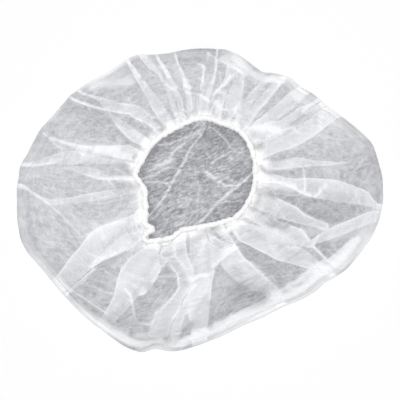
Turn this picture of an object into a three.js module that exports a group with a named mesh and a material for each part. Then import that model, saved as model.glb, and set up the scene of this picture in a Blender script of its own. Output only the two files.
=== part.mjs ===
// A disposable bouffant cap, lying crown down with its mouth open upwards.
// One round sheet of nonwoven cloth makes the crown, turns over at the outer fold and
// comes back inward as a pleated border. The elastic hem draws its edge into a ring.
// Millimetres, +Z up, the crown flat on Z = 0, the outline centred on X = Y = 0.

import * as THREE from "three";

// Driving dimensions
const CLOTH_WALL = 1.4;
const HEM_RADIUS = 2.3;
const HEM_GAP = 0.5;
const HEM_HEIGHT = 38;
const HEM_SWAY = 1.2;
const SWAY_WAVES = 2;
const SWAY_TURN = 40;
const MOUTH_CENTRE = { x: -1, y: 17.5 };
const EDGE_OVERLAP = 1.2;
const FOLD_DEPTH = 8;
const FOLD_HEIGHT = 12;
const CORNER_SOFTNESS = 14;
const LONGEST_EASE = 0.45;
const BILLOW = 5;
const CLIMB_START = -0.35;
const CLIMB_END = 1.15;
const VALLEY_DIP = 1.2;
const MOUTH_NARROWING = 0.62;
const SWELL_LEAN = 0.85;
const SWELL_ROUNDNESS = 0.75;

// Fineness of the faceted surfaces
const HEM_STEPS = 96;
const HEM_SIDES = 8;
const WIDEST_PANEL_DEG = 6;
const OUTLINE_SAMPLES = 720;

// Corners of the outline: direction from the mouth's centre in degrees, and reach
const OUTLINE_CORNERS = [
  { turn: 1, reach: 182 },
  { turn: 12, reach: 175.5 },
  { turn: 20, reach: 162.5 },
  { turn: 31, reach: 147 },
  { turn: 48, reach: 138.5 },
  { turn: 61, reach: 126.5 },
  { turn: 79, reach: 134.5 },
  { turn: 106, reach: 132 },
  { turn: 120, reach: 141 },
  { turn: 146, reach: 152.5 },
  { turn: 162, reach: 166 },
  { turn: 181, reach: 180.5 },
  { turn: 192, reach: 184 },
  { turn: 203, reach: 183.5 },
  { turn: 217, reach: 173.5 },
  { turn: 235, reach: 175.5 },
  { turn: 252, reach: 177.5 },
  { turn: 270, reach: 161.5 },
  { turn: 290, reach: 149 },
  { turn: 302, reach: 148 },
  { turn: 324, reach: 164.5 },
  { turn: 341, reach: 180 },
  { turn: 354, reach: 184 },
];

// The mouth's ring, which the hem and the cloth's edge follow
const MOUTH = [
  { turn: -1, reach: 55.5 },
  { turn: 17, reach: 58 },
  { turn: 35, reach: 61.5 },
  { turn: 50, reach: 64 },
  { turn: 65, reach: 62 },
  { turn: 81, reach: 62.5 },
  { turn: 93, reach: 61 },
  { turn: 116, reach: 57.5 },
  { turn: 134, reach: 59 },
  { turn: 145, reach: 59.5 },
  { turn: 161, reach: 60 },
  { turn: 174, reach: 60 },
  { turn: 188, reach: 55 },
  { turn: 203, reach: 57.5 },
  { turn: 213, reach: 62.5 },
  { turn: 229, reach: 74 },
  { turn: 238, reach: 68 },
  { turn: 244, reach: 62 },
  { turn: 251, reach: 52 },
  { turn: 266, reach: 46 },
  { turn: 298, reach: 46 },
  { turn: 319, reach: 50.5 },
  { turn: 345, reach: 54 },
];

// The hem's kink, where it doubles back on itself in place of the ring's one corner
const KINK_CORNER_TURN = 229;
const HEM_KINK = [
  { turn: 219.5, reach: 63, lift: 1.0 },
  { turn: 224.5, reach: 63.5, lift: 1.6 },
  { turn: 226.5, reach: 68, lift: 1.6 },
  { turn: 225.5, reach: 74.5, lift: 1.2 },
  { turn: 226.5, reach: 79, lift: 0.8 },
  { turn: 230.5, reach: 78, lift: 0.4 },
  { turn: 234, reach: 73, lift: 0.2 },
];

// The main folds: where each one leaves the mouth and reaches the outline, its width
// half-way out, and how far it stands up from the cloth beside it
const FOLDS = [
  { mouthTurn: 2, edgeTurn: -3, width: 17, rise: 6.0 },
  { mouthTurn: 14, edgeTurn: 8, width: 9, rise: 4.0 },
  { mouthTurn: 27, edgeTurn: 25, width: 14, rise: 5.5 },
  { mouthTurn: 42, edgeTurn: 40, width: 15, rise: 5.5 },
  { mouthTurn: 56, edgeTurn: 54, width: 10, rise: 4.5 },
  { mouthTurn: 71, edgeTurn: 68, width: 13, rise: 5.5 },
  { mouthTurn: 88, edgeTurn: 86, width: 10, rise: 4.5 },
  { mouthTurn: 103, edgeTurn: 104, width: 10, rise: 5.0 },
  { mouthTurn: 116, edgeTurn: 119, width: 10, rise: 5.0 },
  { mouthTurn: 128, edgeTurn: 137, width: 14, rise: 5.5 },
  { mouthTurn: 144, edgeTurn: 149, width: 11, rise: 4.5 },
  { mouthTurn: 158, edgeTurn: 165, width: 19, rise: 6.5 },
  { mouthTurn: 177, edgeTurn: 177, width: 12, rise: 4.5 },
  { mouthTurn: 192, edgeTurn: 190, width: 11, rise: 4.0 },
  { mouthTurn: 207, edgeTurn: 203, width: 9, rise: 3.5 },
  { mouthTurn: 221, edgeTurn: 217, width: 19, rise: 6.5 },
  { mouthTurn: 236, edgeTurn: 234, width: 14, rise: 5.5 },
  { mouthTurn: 249, edgeTurn: 249, width: 13, rise: 5.0 },
  { mouthTurn: 266, edgeTurn: 262, width: 12, rise: 5.0 },
  { mouthTurn: 284, edgeTurn: 277, width: 12, rise: 5.0 },
  { mouthTurn: 300, edgeTurn: 297, width: 17, rise: 6.0 },
  { mouthTurn: 316, edgeTurn: 313, width: 11, rise: 4.5 },
  { mouthTurn: 330, edgeTurn: 328, width: 14, rise: 5.0 },
  { mouthTurn: 345, edgeTurn: 343, width: 13, rise: 5.5 },
];

// Stations across one fold, from foot to foot: place along it and share of its rise
const FOLD_SECTION = [
  { across: -1, share: 0 },
  { across: -0.4, share: 1 },
  { across: 0.4, share: 1 },
  { across: 1, share: 0 },
];

// Stations along the cloth: the flat crown, the round outer fold and the pleated border
const CROWN_STATIONS = [0.3, 0.62, 0.86];
const FOLD_ANGLES = [-90, -55, -20, 15, 50, 90];
const BORDER_STATIONS = [0.12, 0.27, 0.44, 0.6, 0.75, 0.88, 1];

const radians = THREE.MathUtils.degToRad;
const lerp = THREE.MathUtils.lerp;

function fromMouth(turn, reach) {
  const angle = radians(turn);
  return new THREE.Vector2(
    MOUTH_CENTRE.x + reach * Math.cos(angle),
    MOUTH_CENTRE.y + reach * Math.sin(angle),
  );
}

function place(turn, reach, height) {
  const flat = fromMouth(turn, reach);
  return new THREE.Vector3(flat.x, flat.y, height);
}

// A function that gives the reach for any direction from a closed ring of points
function reachAround(points) {
  const seen = points.map((point) => {
    const x = point.x - MOUTH_CENTRE.x;
    const y = point.y - MOUTH_CENTRE.y;
    const turn = (THREE.MathUtils.radToDeg(Math.atan2(y, x)) + 360) % 360;
    return { turn, reach: Math.hypot(x, y) };
  });
  seen.sort((a, b) => a.turn - b.turn);
  const first = seen[0];
  const last = seen[seen.length - 1];
  const ring = [
    { turn: last.turn - 360, reach: last.reach },
    ...seen,
    { turn: first.turn + 360, reach: first.reach },
  ];
  return (anyTurn) => {
    const turn = ((anyTurn % 360) + 360) % 360;
    const next = ring.findIndex((row) => row.turn > turn);
    const a = ring[next - 1];
    const b = ring[next];
    return lerp(a.reach, b.reach, (turn - a.turn) / (b.turn - a.turn));
  };
}

// The outline: straight runs between corners that are rounded off
function outlinePath() {
  const corners = OUTLINE_CORNERS.map((row) => fromMouth(row.turn, row.reach));
  const path = new THREE.Path();
  corners.forEach((corner, index) => {
    const before = corners[(index + corners.length - 1) % corners.length];
    const after = corners[(index + 1) % corners.length];
    const easeIn = Math.min(LONGEST_EASE, CORNER_SOFTNESS / corner.distanceTo(before));
    const easeOut = Math.min(LONGEST_EASE, CORNER_SOFTNESS / corner.distanceTo(after));
    const start = corner.clone().lerp(before, easeIn);
    const end = corner.clone().lerp(after, easeOut);
    if (index === 0) path.moveTo(start.x, start.y);
    else path.lineTo(start.x, start.y);
    path.quadraticCurveTo(corner.x, corner.y, end.x, end.y);
  });
  path.closePath();
  return path;
}

// Height of the hem's middle, which rises and falls a little round the mouth
function hemHeight(turn) {
  return HEM_HEIGHT + HEM_SWAY * Math.sin(radians(SWAY_WAVES * turn + SWAY_TURN));
}

function mouthPoint(row) {
  return place(row.turn, row.reach, hemHeight(row.turn) + (row.lift ?? 0));
}

const outlineReach = reachAround(outlinePath().getSpacedPoints(OUTLINE_SAMPLES));
const ringCurve = new THREE.CatmullRomCurve3(MOUTH.map(mouthPoint), true);
const mouthReach = reachAround(ringCurve.getSpacedPoints(OUTLINE_SAMPLES));

// Where one fold's middle lies and how far its feet are to each side of it, in degrees.
// inward is 0 at the outline and 1 at the mouth.
function foldFeet(fold, inward) {
  const turn = lerp(fold.edgeTurn, fold.mouthTurn, inward);
  const reach = lerp(outlineReach(turn), mouthReach(turn), inward);
  const half = THREE.MathUtils.radToDeg(fold.width / 2 / reach) * lerp(1, MOUTH_NARROWING, inward);
  return { turn, half };
}

// The mesh's columns: the stations of each fold, and enough more in each valley to keep
// every panel narrow
function columnPlan() {
  const plan = [];
  FOLDS.forEach((fold, index) => {
    FOLD_SECTION.forEach(({ across, share }) => plan.push({ index, across, share, between: 0 }));
    const here = foldFeet(fold, 0);
    const next = foldFeet(FOLDS[(index + 1) % FOLDS.length], 0);
    const nextTurn = index + 1 < FOLDS.length ? next.turn : next.turn + 360;
    const valley = nextTurn - next.half - (here.turn + here.half);
    const extra = Math.floor(valley / WIDEST_PANEL_DEG);
    for (let step = 1; step <= extra; step += 1) {
      plan.push({ index, across: 1, share: 0, between: step / (extra + 1) });
    }
  });
  return plan;
}

// The turn of one column at one station
function columnTurn(column, inward) {
  const here = foldFeet(FOLDS[column.index], inward);
  const turn = here.turn + column.across * here.half;
  if (column.between === 0) return turn;
  const wraps = column.index + 1 === FOLDS.length;
  const next = foldFeet(FOLDS[(column.index + 1) % FOLDS.length], inward);
  const far = next.turn - next.half + (wraps ? 360 : 0);
  return lerp(turn, far, column.between);
}

// Height of the border, rising from the outer fold to just under the hem
function borderHeight(turn, inward) {
  const seat = hemHeight(turn) - HEM_RADIUS - HEM_GAP;
  const climb = THREE.MathUtils.smootherstep(inward, CLIMB_START, CLIMB_END);
  const start = THREE.MathUtils.smootherstep(0, CLIMB_START, CLIMB_END);
  const end = THREE.MathUtils.smootherstep(1, CLIMB_START, CLIMB_END);
  const share = (climb - start) / (end - start);
  return lerp(FOLD_HEIGHT, seat, share) + BILLOW * Math.sin(Math.PI * inward) * (1 - inward);
}

// Where the folds stand highest: nothing at the outer fold, nothing under the hem
function foldSwell(inward) {
  return Math.sin(Math.PI * inward ** SWELL_LEAN) ** SWELL_ROUNDNESS;
}

// The outside of the cloth, ring by ring from the crown to the mouth
function outsideRings(columns) {
  const rings = [];
  for (const share of CROWN_STATIONS) {
    rings.push(columns.map((column) => {
      const turn = columnTurn(column, 0);
      const rim = fromMouth(turn, outlineReach(turn) - FOLD_DEPTH);
      return new THREE.Vector3(rim.x * share, rim.y * share, 0);
    }));
  }
  for (const degrees of FOLD_ANGLES) {
    const across = Math.cos(radians(degrees)) * FOLD_DEPTH;
    const up = Math.sin(radians(degrees)) * (FOLD_HEIGHT / 2);
    rings.push(columns.map((column) => {
      const turn = columnTurn(column, 0);
      return place(turn, outlineReach(turn) - FOLD_DEPTH + across, FOLD_HEIGHT / 2 + up);
    }));
  }
  for (const inward of BORDER_STATIONS) {
    rings.push(columns.map((column) => {
      const turn = columnTurn(column, inward);
      const outer = outlineReach(turn) - FOLD_DEPTH;
      const inner = mouthReach(turn) - EDGE_OVERLAP;
      const rise = FOLDS[column.index].rise * column.share - VALLEY_DIP * (1 - column.share);
      const height = borderHeight(turn, inward) + rise * foldSwell(inward);
      return place(turn, lerp(outer, inner, inward), height);
    }));
  }
  return rings;
}

function geometryOf(points, triangles) {
  const geometry = new THREE.BufferGeometry();
  const flat = points.flatMap((point) => [point.x, point.y, point.z]);
  geometry.setAttribute("position", new THREE.Float32BufferAttribute(flat, 3));
  geometry.setIndex(triangles.flat());
  geometry.computeVertexNormals();
  return geometry;
}

// Triangles of one side, from the crown's middle point outwards; points are the middle
// point and then the rings one after another
function sideTriangles(ringCount, columnCount) {
  const at = (ring, column) => 1 + ring * columnCount + (column % columnCount);
  const triangles = [];
  for (let column = 0; column < columnCount; column += 1) {
    triangles.push([0, at(0, column + 1), at(0, column)]);
    for (let ring = 0; ring + 1 < ringCount; ring += 1) {
      const a = at(ring, column);
      const b = at(ring, column + 1);
      const c = at(ring + 1, column + 1);
      const d = at(ring + 1, column);
      triangles.push([a, b, c], [a, c, d]);
    }
  }
  return triangles;
}

// The cloth as one closed wall: the outside, the inside one wall's thickness within it,
// and the narrow edge at the mouth that joins them
function bonnetGeometry() {
  const columns = columnPlan();
  const rings = outsideRings(columns);
  const outside = [new THREE.Vector3(0, 0, 0), ...rings.flat()];
  const triangles = sideTriangles(rings.length, columns.length);
  const normals = geometryOf(outside, triangles).getAttribute("normal");
  const inside = outside.map((point, index) => {
    const normal = new THREE.Vector3().fromBufferAttribute(normals, index);
    return point.clone().addScaledVector(normal, -CLOTH_WALL);
  });
  const count = outside.length;
  const inner = triangles.map(([a, b, c]) => [a + count, c + count, b + count]);
  const edge = [];
  for (let column = 0; column < columns.length; column += 1) {
    const a = count - columns.length + column;
    const b = count - columns.length + ((column + 1) % columns.length);
    edge.push([a, b, b + count], [a, b + count, a + count]);
  }
  return geometryOf([...outside, ...inside], [...triangles, ...inner, ...edge]);
}

// The hem: a round section swept along the ring, with its kink
function hemCurve() {
  const corner = MOUTH.findIndex((row) => row.turn === KINK_CORNER_TURN);
  const rows = [...MOUTH.slice(0, corner), ...HEM_KINK, ...MOUTH.slice(corner + 1)];
  return new THREE.CatmullRomCurve3(rows.map(mouthPoint), true);
}

function hemGeometry() {
  const curve = hemCurve();
  const up = new THREE.Vector3(0, 0, 1);
  const points = [];
  for (let step = 0; step < HEM_STEPS; step += 1) {
    const share = step / HEM_STEPS;
    const centre = curve.getPointAt(share);
    const side = new THREE.Vector3().crossVectors(up, curve.getTangentAt(share)).normalize();
    for (let corner = 0; corner < HEM_SIDES; corner += 1) {
      const angle = (2 * Math.PI * corner) / HEM_SIDES;
      points.push(centre.clone()
        .addScaledVector(side, HEM_RADIUS * Math.cos(angle))
        .addScaledVector(up, HEM_RADIUS * Math.sin(angle)));
    }
  }
  const at = (step, corner) => (step % HEM_STEPS) * HEM_SIDES + (corner % HEM_SIDES);
  const triangles = [];
  for (let step = 0; step < HEM_STEPS; step += 1) {
    for (let corner = 0; corner < HEM_SIDES; corner += 1) {
      const a = at(step, corner);
      const b = at(step, corner + 1);
      const c = at(step + 1, corner + 1);
      const d = at(step + 1, corner);
      triangles.push([a, b, c], [a, c, d]);
    }
  }
  return geometryOf(points, triangles);
}

function cloth(colour) {
  return new THREE.MeshStandardMaterial({ color: colour, roughness: 0.85, metalness: 0 });
}

const bonnet = new THREE.Mesh(bonnetGeometry(), cloth(0xe2e3e5));
bonnet.name = "bonnet";

const elasticHem = new THREE.Mesh(hemGeometry(), cloth(0xf6f6f4));
elasticHem.name = "elastic_hem";

const cap = new THREE.Group();
cap.name = "bouffant_cap";
cap.add(bonnet, elasticHem);

export default cap;
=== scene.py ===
# A disposable bouffant cap of sheer nonwoven cloth, lying crown down with its mouth open.
# Lengths are millimetres, except the studio's, and become metres when a mesh is made.
# A turn is an angle in degrees round the mouth's centre, and a reach is a distance from it.
# How far inward a point lies is a share of the border, 0 at the outer edge and 1 at the hem.

import math
from collections import namedtuple
from functools import partial

import bpy
import numpy as np
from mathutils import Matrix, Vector


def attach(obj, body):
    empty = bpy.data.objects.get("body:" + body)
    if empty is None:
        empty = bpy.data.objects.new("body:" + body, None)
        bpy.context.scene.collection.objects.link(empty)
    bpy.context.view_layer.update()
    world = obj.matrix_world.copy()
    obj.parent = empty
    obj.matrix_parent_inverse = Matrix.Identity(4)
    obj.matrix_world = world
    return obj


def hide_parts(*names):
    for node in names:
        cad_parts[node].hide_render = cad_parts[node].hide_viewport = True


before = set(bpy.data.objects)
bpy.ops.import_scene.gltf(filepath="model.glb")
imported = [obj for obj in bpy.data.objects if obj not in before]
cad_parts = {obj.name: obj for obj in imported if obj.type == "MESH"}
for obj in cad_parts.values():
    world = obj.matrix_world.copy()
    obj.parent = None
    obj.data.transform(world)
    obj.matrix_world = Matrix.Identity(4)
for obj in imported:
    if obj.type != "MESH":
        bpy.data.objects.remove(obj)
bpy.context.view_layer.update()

MM = 0.001
SEED = 53

# The cap's driving sizes, within a few millimetres of the solid model's
MOUTH_CENTRE = (-1.0, 17.5)
CORNER_SOFTNESS = 7.0
HEM_RADIUS = 2.3
HEM_HEIGHT = 38.0
HEM_SWAY = 1.2
HEM_SWAY_START = 40.0    # degrees
CUT_RADIUS = 265.0       # the flat disc that the cap is cut as
CUT_FOLD_RADIUS = 162.0  # where the outer bend begins on that disc
CUT_BEND = 12.0          # how much of the disc the outer bend takes up

# The cloth's own sizes as it lies
CROWN_LIFT = 0.5
CREASE_LIFT = 0.5
CROWN_CREASE_LIFT = 0.9
FOLD_HEIGHT = 8.5
FOLD_DEPTH = 5.0
BORDER_BILLOW = 4.0
BORDER_CLIMB = 0.75      # below 1 the border climbs fastest beside the outer bend
SWELL_HEIGHT = 1.5
SWELL_WAVES = 10
RIM_INSET = 0.6
SEAT_SHARE = 0.6         # how far under the hem's middle the border meets it, in hem radii

# The rolled hem
HEM_WIDTH = 5.2
HEM_THICKNESS = 4.0
HEM_TURN_IN = 0.8
HEM_STEP = 0.6           # between one ring of the roll's points and the next
HEM_SIDES = 14
BUNCH_LENGTH = 4.2
BUNCH_DEPTH = 2.1

# How a pleat laps
DEEP_FOLD = 4.0          # above 1 the cloth overlaps itself
LAP_SHARE = 1.46         # width of the triple layer over a pleat's half width
TURNING_PLACE = 0.447    # where across a pleat the cloth is drawn over furthest
PLEAT_FADE = 0.025       # half the share of the border over which a pleat comes in or goes out
FROM_RIM = 0.035         # a pleat that starts closer to the edge than this comes round the bend
TO_HEM = 0.9             # a pleat that ends further in than this runs into the hem
LAP_WIDTHS = (0.3, 2.2)  # a pleat isn't lapped at the first width, and fully at the second
TUCK_WIDTHS = (3, 7)     # the same for a tuck
GATHERS = (
    # Small pleats left to chance round the mouth: how many, least and most share of the border
    # that they reach over, width at the mouth, width further out, slant, lift, depth
    (96, (0.08, 0.24), (2.0, 3.2), (2.2, 4.0), 1, 0.9, 1.5),
    (44, (0.14, 0.36), (2.5, 4.0), (3.0, 6.0), 3, 1.1, 2.2),
)

# Where each effect comes in over the border, from none at the first share to all at the second
LAPS_RISE = (-0.05, 0.04)
SHADE_BEGINS = (-0.05, 0.02)
HEM_THICKENS = (0.8, 0.97)
HEM_GATHERS = (0.86, 0.97)
HEM_WHITENS = (0.88, 0.96)
HEM_SETTLES = (0.9, 1.0)  # tucks give way, so that the edge lies at the hem
CUT_EVENS = (0, 0.15)     # the flat disc's map comes to follow the length of the folded rows

# The same round the outer bend, in degrees, -90 under it and 90 over it
RIM_WHITENS = (-60, -20)
LAYER_TURNS = (-25, 25)

# Mesh fineness
BORDER_COLUMNS = 840
BORDER_ROWS = 84
BEND_ROWS = 9
BEND_SHARE = 0.09        # the outer bend's rows run from minus this to 0, and the border's to 1
CROWN_COLUMNS = 420
CROWN_FINE_RINGS = 38
CROWN_WIDE_RINGS = 8
CROWN_POLE = 0.02        # the first ring's share of the way out from the crown's middle
CROWN_FINE_SHARE = 0.45  # where the fine rings end
CROWN_SPACING = 0.6      # below 1 the fine rings lie closer together outwards

# Finishes: colours are red, green, blue and alpha
CROWN_DARK = (0.285, 0.285, 0.305, 1)
CROWN_LIGHT = (0.82, 0.825, 0.85, 1)
SINGLE_CLOTH = (0.79, 0.795, 0.82, 1)
DOUBLE_CLOTH = (0.955, 0.96, 0.97, 1)
GATHERED_CLOTH = (0.99, 0.99, 0.99, 1)
SHADED_CLOTH = (0.50, 0.50, 0.51, 1)
HEM_WHITE = (0.96, 0.96, 0.96, 1)
FLOOR_WHITE = (0.95, 0.95, 0.95, 1)
OPAQUE_CLOTH = 0.95      # alpha where cloth lies on cloth
BARE_TONE = 0.12         # how light the crown is inside the open mouth
BARE_FADE = 5.0          # how far past the mouth's ring the crown stops being bare
HEM_SHADOW = 9.0         # half width of the shade under the hem
CROWN_EDGE = (0.955, 1.0)
CROWN_EDGE_TONE = 0.35   # how much lighter the crown is at its edge

# Studio, in metres and degrees
FLOOR_HALF = 3.0
SKY_STRENGTH = 0.36
LAMPS = (
    # name, strength, angle across, where it shines to
    ("key", 1.53, 50, (0.35, -0.4, -1)),
    ("fill", 0.92, 60, (-0.5, 0.3, -1)),
)
CAMERA_ELEVATION = 88
CAMERA_DISTANCE = 3.29
LENS = 300               # millimetres, as is the sensor
SENSOR = 36
TRANSPARENT_BOUNCES = 48

# Corners of the outline
OUTLINE_CORNERS = [
    # turn, reach
    (1, 182), (12, 175.5), (20, 162.5), (31, 147), (48, 138.5), (61, 126.5), (79, 134.5), (106, 132),
    (120, 141), (146, 152.5), (162, 166), (181, 180.5), (192, 184), (203, 183.5), (217, 173.5),
    (235, 175.5), (252, 177.5), (270, 161.5), (290, 149), (302, 148), (324, 164.5), (341, 180), (354, 184),
]

# The ring that the hem and the cloth's edge follow
MOUTH = [
    # turn, reach
    (-1, 55.5), (17, 58), (35, 61.5), (50, 63.6), (59, 62.2), (69, 61.2), (81, 62.3), (93, 61), (118, 56.8),
    (131, 58.2), (145, 59.3), (154, 59.2), (162, 60), (174.5, 63.2), (188, 55), (203, 57.5), (213, 62.5),
    (229, 75.5), (238, 69), (244, 62.5), (251, 52), (266, 46.8), (298, 47), (319, 51.8), (345, 54),
]

# Where the hem doubles back on itself, in place of the ring's one corner. The cloth's edge
# keeps the corner and has two more points beside it.
KINK_CORNER_TURN = 229
KINK_EDGE = [(219, 67), (224.5, 65.8)]
HEM_KINK = [
    # turn, reach, lift
    (218.9, 68.2, 1.0), (226.4, 65.8, 1.6), (225.3, 72.6, 1.4), (226.1, 78.4, 0.9), (229.8, 78.5, 0.4),
    (233, 74.4, 0.2),
]

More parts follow.
